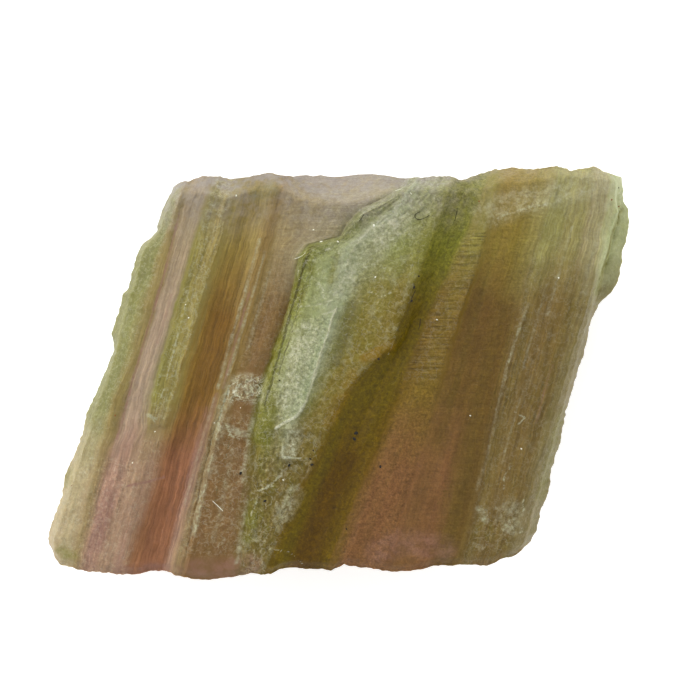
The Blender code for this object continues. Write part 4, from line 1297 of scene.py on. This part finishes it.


# The grains on the face, by kind, the white ones painted glints of light: each one's x, y and radius
SPECKS: dict[Grime, Sequence[tuple[float, float, float]]] = {
    Grime.SOOT: (
        (0.71, -2.30, 0.085), (0.65, -2.53, 0.07), (1.68, -3.63, 0.055), (-1.93, -3.57, 0.06),
        (-1.03, -3.54, 0.06), (-1.09, -3.31, 0.045), (-0.97, -2.99, 0.035), (-3.85, -3.89, 0.06),
        (-2.88, -4.98, 0.06), (-2.30, -0.21, 0.035), (0.34, -6.10, 0.035), (3.01, 3.47, 0.055),
        (2.91, 2.93, 0.05), (3.19, 3.91, 0.045), (1.60, 0.65, 0.06), (11.18, 7.45, 0.03),
    ),
    Grime.RUST: (
        (10.86, 6.95, 0.05), (11.20, 6.72, 0.045), (5.59, 6.87, 0.045), (-8.85, -1.61, 0.045),
        (-10.60, -4.41, 0.035),
    ),
    # painted highlights: white specks standing for glints of light on tiny facets
    Grime.GLINT: (
        (-0.66, 5.28, 0.07), (0.0, 5.28, 0.055), (1.43, 5.91, 0.07), (1.48, 3.87, 0.05),
        (-0.97, 5.76, 0.045), (3.92, 2.19, 0.045), (8.75, 3.85, 0.05), (-8.16, -3.49, 0.04),
        (-7.26, -2.25, 0.04), (5.24, -1.61, 0.045), (-2.16, -4.15, 0.045), (-4.04, 7.12, 0.05),
        (-5.92, 2.27, 0.045), (-6.04, 2.79, 0.035), (7.28, -2.93, 0.05), (-3.86, -1.3, 0.03),
        (-3.1, -0.75, 0.03), (-4.9, -1.9, 0.035),
    ),
}
FIBRES: tuple[Fibre, ...] = (
    Fibre(((3.24, 6.45), (3.06, 6.38), (3.03, 6.22), (3.20, 6.12), (3.44, 6.21), (3.62, 6.31))),
    Fibre(((1.02, 6.35), (0.95, 6.20), (0.84, 6.09))),
    Fibre(((4.72, 6.61), (4.71, 6.37), (4.62, 6.09))),
    Fibre(((3.07, 3.35), (2.96, 3.15), (2.86, 2.87))),
    Fibre(((3.27, 2.23), (3.25, 2.0), (3.20, 1.81))),
    Fibre(((2.28, 7.30), (2.50, 7.40), (2.78, 7.33), (2.92, 7.15)), Grime.GLINT),
    Fibre(((-1.71, 4.61), (-1.45, 4.66), (-1.28, 4.84)), Grime.GLINT),
    Fibre(((-1.54, 4.15), (-1.62, 3.95), (-1.53, 3.77)), Grime.GLINT),
    Fibre(((-4.96, -5.0), (-4.76, -5.18), (-4.56, -5.39)), Grime.GLINT),
)


@dataclass
class Dust:
    """The specks and lint that lie on the broad face, with white specks that are painted glints of light."""

    speck_sizes: tuple[float, ...] = (1.05, 0.85, 0.75)
    speck_shape: tuple[float, ...] = (1.3, 0.85, 0.6, 1.0)
    speck_turn: float = 2.4
    lint_radius: float = 0.011
    drop_height: float = 20.0
    finishes: tuple[GrimeFinish, ...] = (
        GrimeFinish("soot", shade(26, 22, 10)),
        GrimeFinish("rust_grain", shade(136, 84, 36)),
        # white: painted glints of light on the specks, pale lint on the fibres
        GrimeFinish("glint", shade(232, 232, 214), 0.35, 0.2),
    )

    def build(self, crystal: bpy.types.Object) -> list[bpy.types.Object]:
        """Lays the specks and the lint on the crystal.

        Args:
            crystal: The crystal's object.

        Returns:
            The object of the specks and the object of the lint.
        """
        mesh = bmesh.new()
        mesh.from_mesh(crystal.data)
        ground = BVHTree.FromBMesh(mesh)
        mesh.free()
        materials = [finish.build() for finish in self.finishes]
        pieces = [self.lay_specks(ground, materials), self.lay_lint(ground, materials)]
        for piece in pieces:
            bpy.context.scene.collection.objects.link(piece)
        return pieces

    def resting(self, ground: BVHTree, x: float, y: float) -> Vector:
        """Finds the point of the surface straight below a place.

        Args:
            ground: The crystal's surface.
            x: The place's x in millimetres.
            y: The place's y in millimetres.

        Returns:
            The point in metres.
        """
        return ground.ray_cast(Vector((x, y, self.drop_height)) * MM, Vector((0.0, 0.0, -1.0)))[0]

    def lay_specks(self, ground: BVHTree, materials: Sequence[bpy.types.Material]) -> bpy.types.Object:
        """Lays the specks, each a flattened grain turned its own way; the white ones are painted glints of
        light.

        Args:
            ground: The crystal's surface.
            materials: The materials, in the order of the kinds of dirt.

        Returns:
            Their object.
        """
        mesh = bmesh.new()
        specks = [(grime, *speck) for grime, group in SPECKS.items() for speck in group]
        for number, (grime, x, y, radius) in enumerate(specks):
            stand = Matrix.Translation(self.resting(ground, x, y))
            turn = Matrix.Rotation(self.speck_turn * number, 4, "Z")
            shape = stand @ turn @ Matrix.Diagonal(self.speck_shape)
            size = radius * self.speck_sizes[grime] * MM
            made = bmesh.ops.create_icosphere(mesh, subdivisions=1, radius=size, matrix=shape)
            for face in {face for vertex in made["verts"] for face in vertex.link_faces}:
                face.material_index = grime
        data = bpy.data.meshes.new("dust_and_glint_specks")
        mesh.to_mesh(data)
        mesh.free()
        for material in materials:
            data.materials.append(material)
        return bpy.data.objects.new("dust_and_glint_specks", data)

    def lay_lint(self, ground: BVHTree, materials: Sequence[bpy.types.Material]) -> bpy.types.Object:
        """Lays the lint, each thread a thin smooth tube.

        Args:
            ground: The crystal's surface.
            materials: The materials, in the order of the kinds of dirt.

        Returns:
            Its object.
        """
        curve = bpy.data.curves.new("lint", "CURVE")
        for material in materials:
            curve.materials.append(material)
        curve.dimensions = "3D"
        curve.bevel_depth = self.lint_radius * MM
        curve.bevel_resolution = 1
        curve.use_fill_caps = True
        curve.resolution_u = 6
        for fibre in FIBRES:
            spline = curve.splines.new("NURBS")
            spline.points.add(len(fibre.places) - 1)
            for point, (x, y) in zip(spline.points, fibre.places):
                point.co = (*self.resting(ground, x, y), 1.0)
                point.co.z += self.lint_radius * MM
            spline.order_u = 3
            spline.use_endpoint_u = True
            spline.material_index = fibre.grime
        holder = bpy.data.objects.new("lint_threads", curve)
        bpy.context.scene.collection.objects.link(holder)
        depsgraph = bpy.context.evaluated_depsgraph_get()
        data = bpy.data.meshes.new_from_object(holder.evaluated_get(depsgraph))
        bpy.data.objects.remove(holder)
        data.name = "lint"
        data.shade_smooth()
        return bpy.data.objects.new("lint", data)


@dataclass
class Studio:
    """A white table, even white light and the camera of the photograph, which looks straight down."""

    lens: float = 300.0
    view_width: float = 28.0
    aim: tuple[float, float] = (0.48, 0.99)
    outline_height: float = 3.4
    floor_size: float = 1.2
    floor_drop: float = 0.02
    floor_white: float = 0.9
    floor_roughness: float = 0.9
    floor_glow: float = 0.5
    sky: float = 1.54
    zenith: float = 0.08
    overhead_rise: tuple[float, float] = (0.7, 0.93)
    lean_of_light: float = 0.7
    brightest: tuple[float, float, float] = (-0.45, 0.8, 0.4)

    def build(self) -> None:
        """Sets up the floor, the light and the camera."""
        self.lay_floor()
        self.light()
        self.set_camera()

    def lay_floor(self) -> None:
        """Lays the pale floor just below the crystal."""
        mesh = bmesh.new()
        bmesh.ops.create_grid(mesh, x_segments=1, y_segments=1, size=self.floor_size / 2)
        data = bpy.data.meshes.new("floor")
        mesh.to_mesh(data)
        mesh.free()
        floor = bpy.data.objects.new("floor", data)
        floor.location.z = -self.floor_drop * MM
        bpy.context.scene.collection.objects.link(floor)
        material = bpy.data.materials.new("white_table")
        material.use_nodes = True
        shader = material.node_tree.nodes["Principled BSDF"]
        white = self.floor_white
        shader.inputs["Base Color"].default_value = (white, white, white, 1.0)
        shader.inputs["Roughness"].default_value = self.floor_roughness
        shader.inputs["Specular IOR Level"].default_value = 0.0
        shader.inputs["Emission Color"].default_value = (1.0, 1.0, 1.0, 1.0)
        shader.inputs["Emission Strength"].default_value = self.floor_glow
        data.materials.append(material)

    def light(self) -> None:
        """Lights the scene from all round, most from the upper left, and hardly from straight above."""
        world = bpy.data.worlds.new("studio")
        world.use_nodes = True
        graph = Graph(world.node_tree)
        background = world.node_tree.nodes["Background"]
        background.inputs["Color"].default_value = (1.0, 1.0, 1.0, 1.0)
        direction = graph.add("ShaderNodeTexCoord").outputs["Generated"]
        rise = graph.add("ShaderNodeSeparateXYZ", {0: direction}).outputs[2]
        toward = graph.add("ShaderNodeVectorMath", {0: direction, 1: self.brightest}, operation="DOT_PRODUCT")
        around = graph.math("ADD", graph.math("MULTIPLY", toward.outputs[1], self.lean_of_light), 1.0)
        overhead = graph.span(rise, *self.overhead_rise)
        strength = graph.math("ADD", self.sky, graph.math("MULTIPLY", overhead, self.zenith - self.sky))
        graph.join(background.inputs["Strength"], graph.math("MULTIPLY", strength, around))
        bpy.context.scene.world = world

    def set_camera(self) -> None:
        """Hangs the camera above the crystal."""
        data = bpy.data.cameras.new("camera")
        data.lens = self.lens
        data.clip_start = 0.005
        distance = self.lens * self.view_width / data.sensor_width
        camera = bpy.data.objects.new("camera", data)
        camera.location = (self.aim[0] * MM, self.aim[1] * MM, (self.outline_height + distance) * MM)
        bpy.context.scene.collection.objects.link(camera)
        bpy.context.scene.camera = camera
        bpy.context.scene.view_settings.view_transform = "Standard"


def main() -> None:
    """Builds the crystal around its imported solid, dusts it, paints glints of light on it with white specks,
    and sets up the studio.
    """
    logging.basicConfig(level=logging.INFO, format="%(name)s: %(message)s")
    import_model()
    crystal = Crystal().build()
    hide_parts("tourmaline_crystal")
    for piece in [crystal, *Dust().build(crystal)]:
        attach(piece, "root")
        LOG.info("%s: %d faces", piece.name, len(piece.data.polygons))
    Studio().build()


if __name__ == "__main__":
    main()
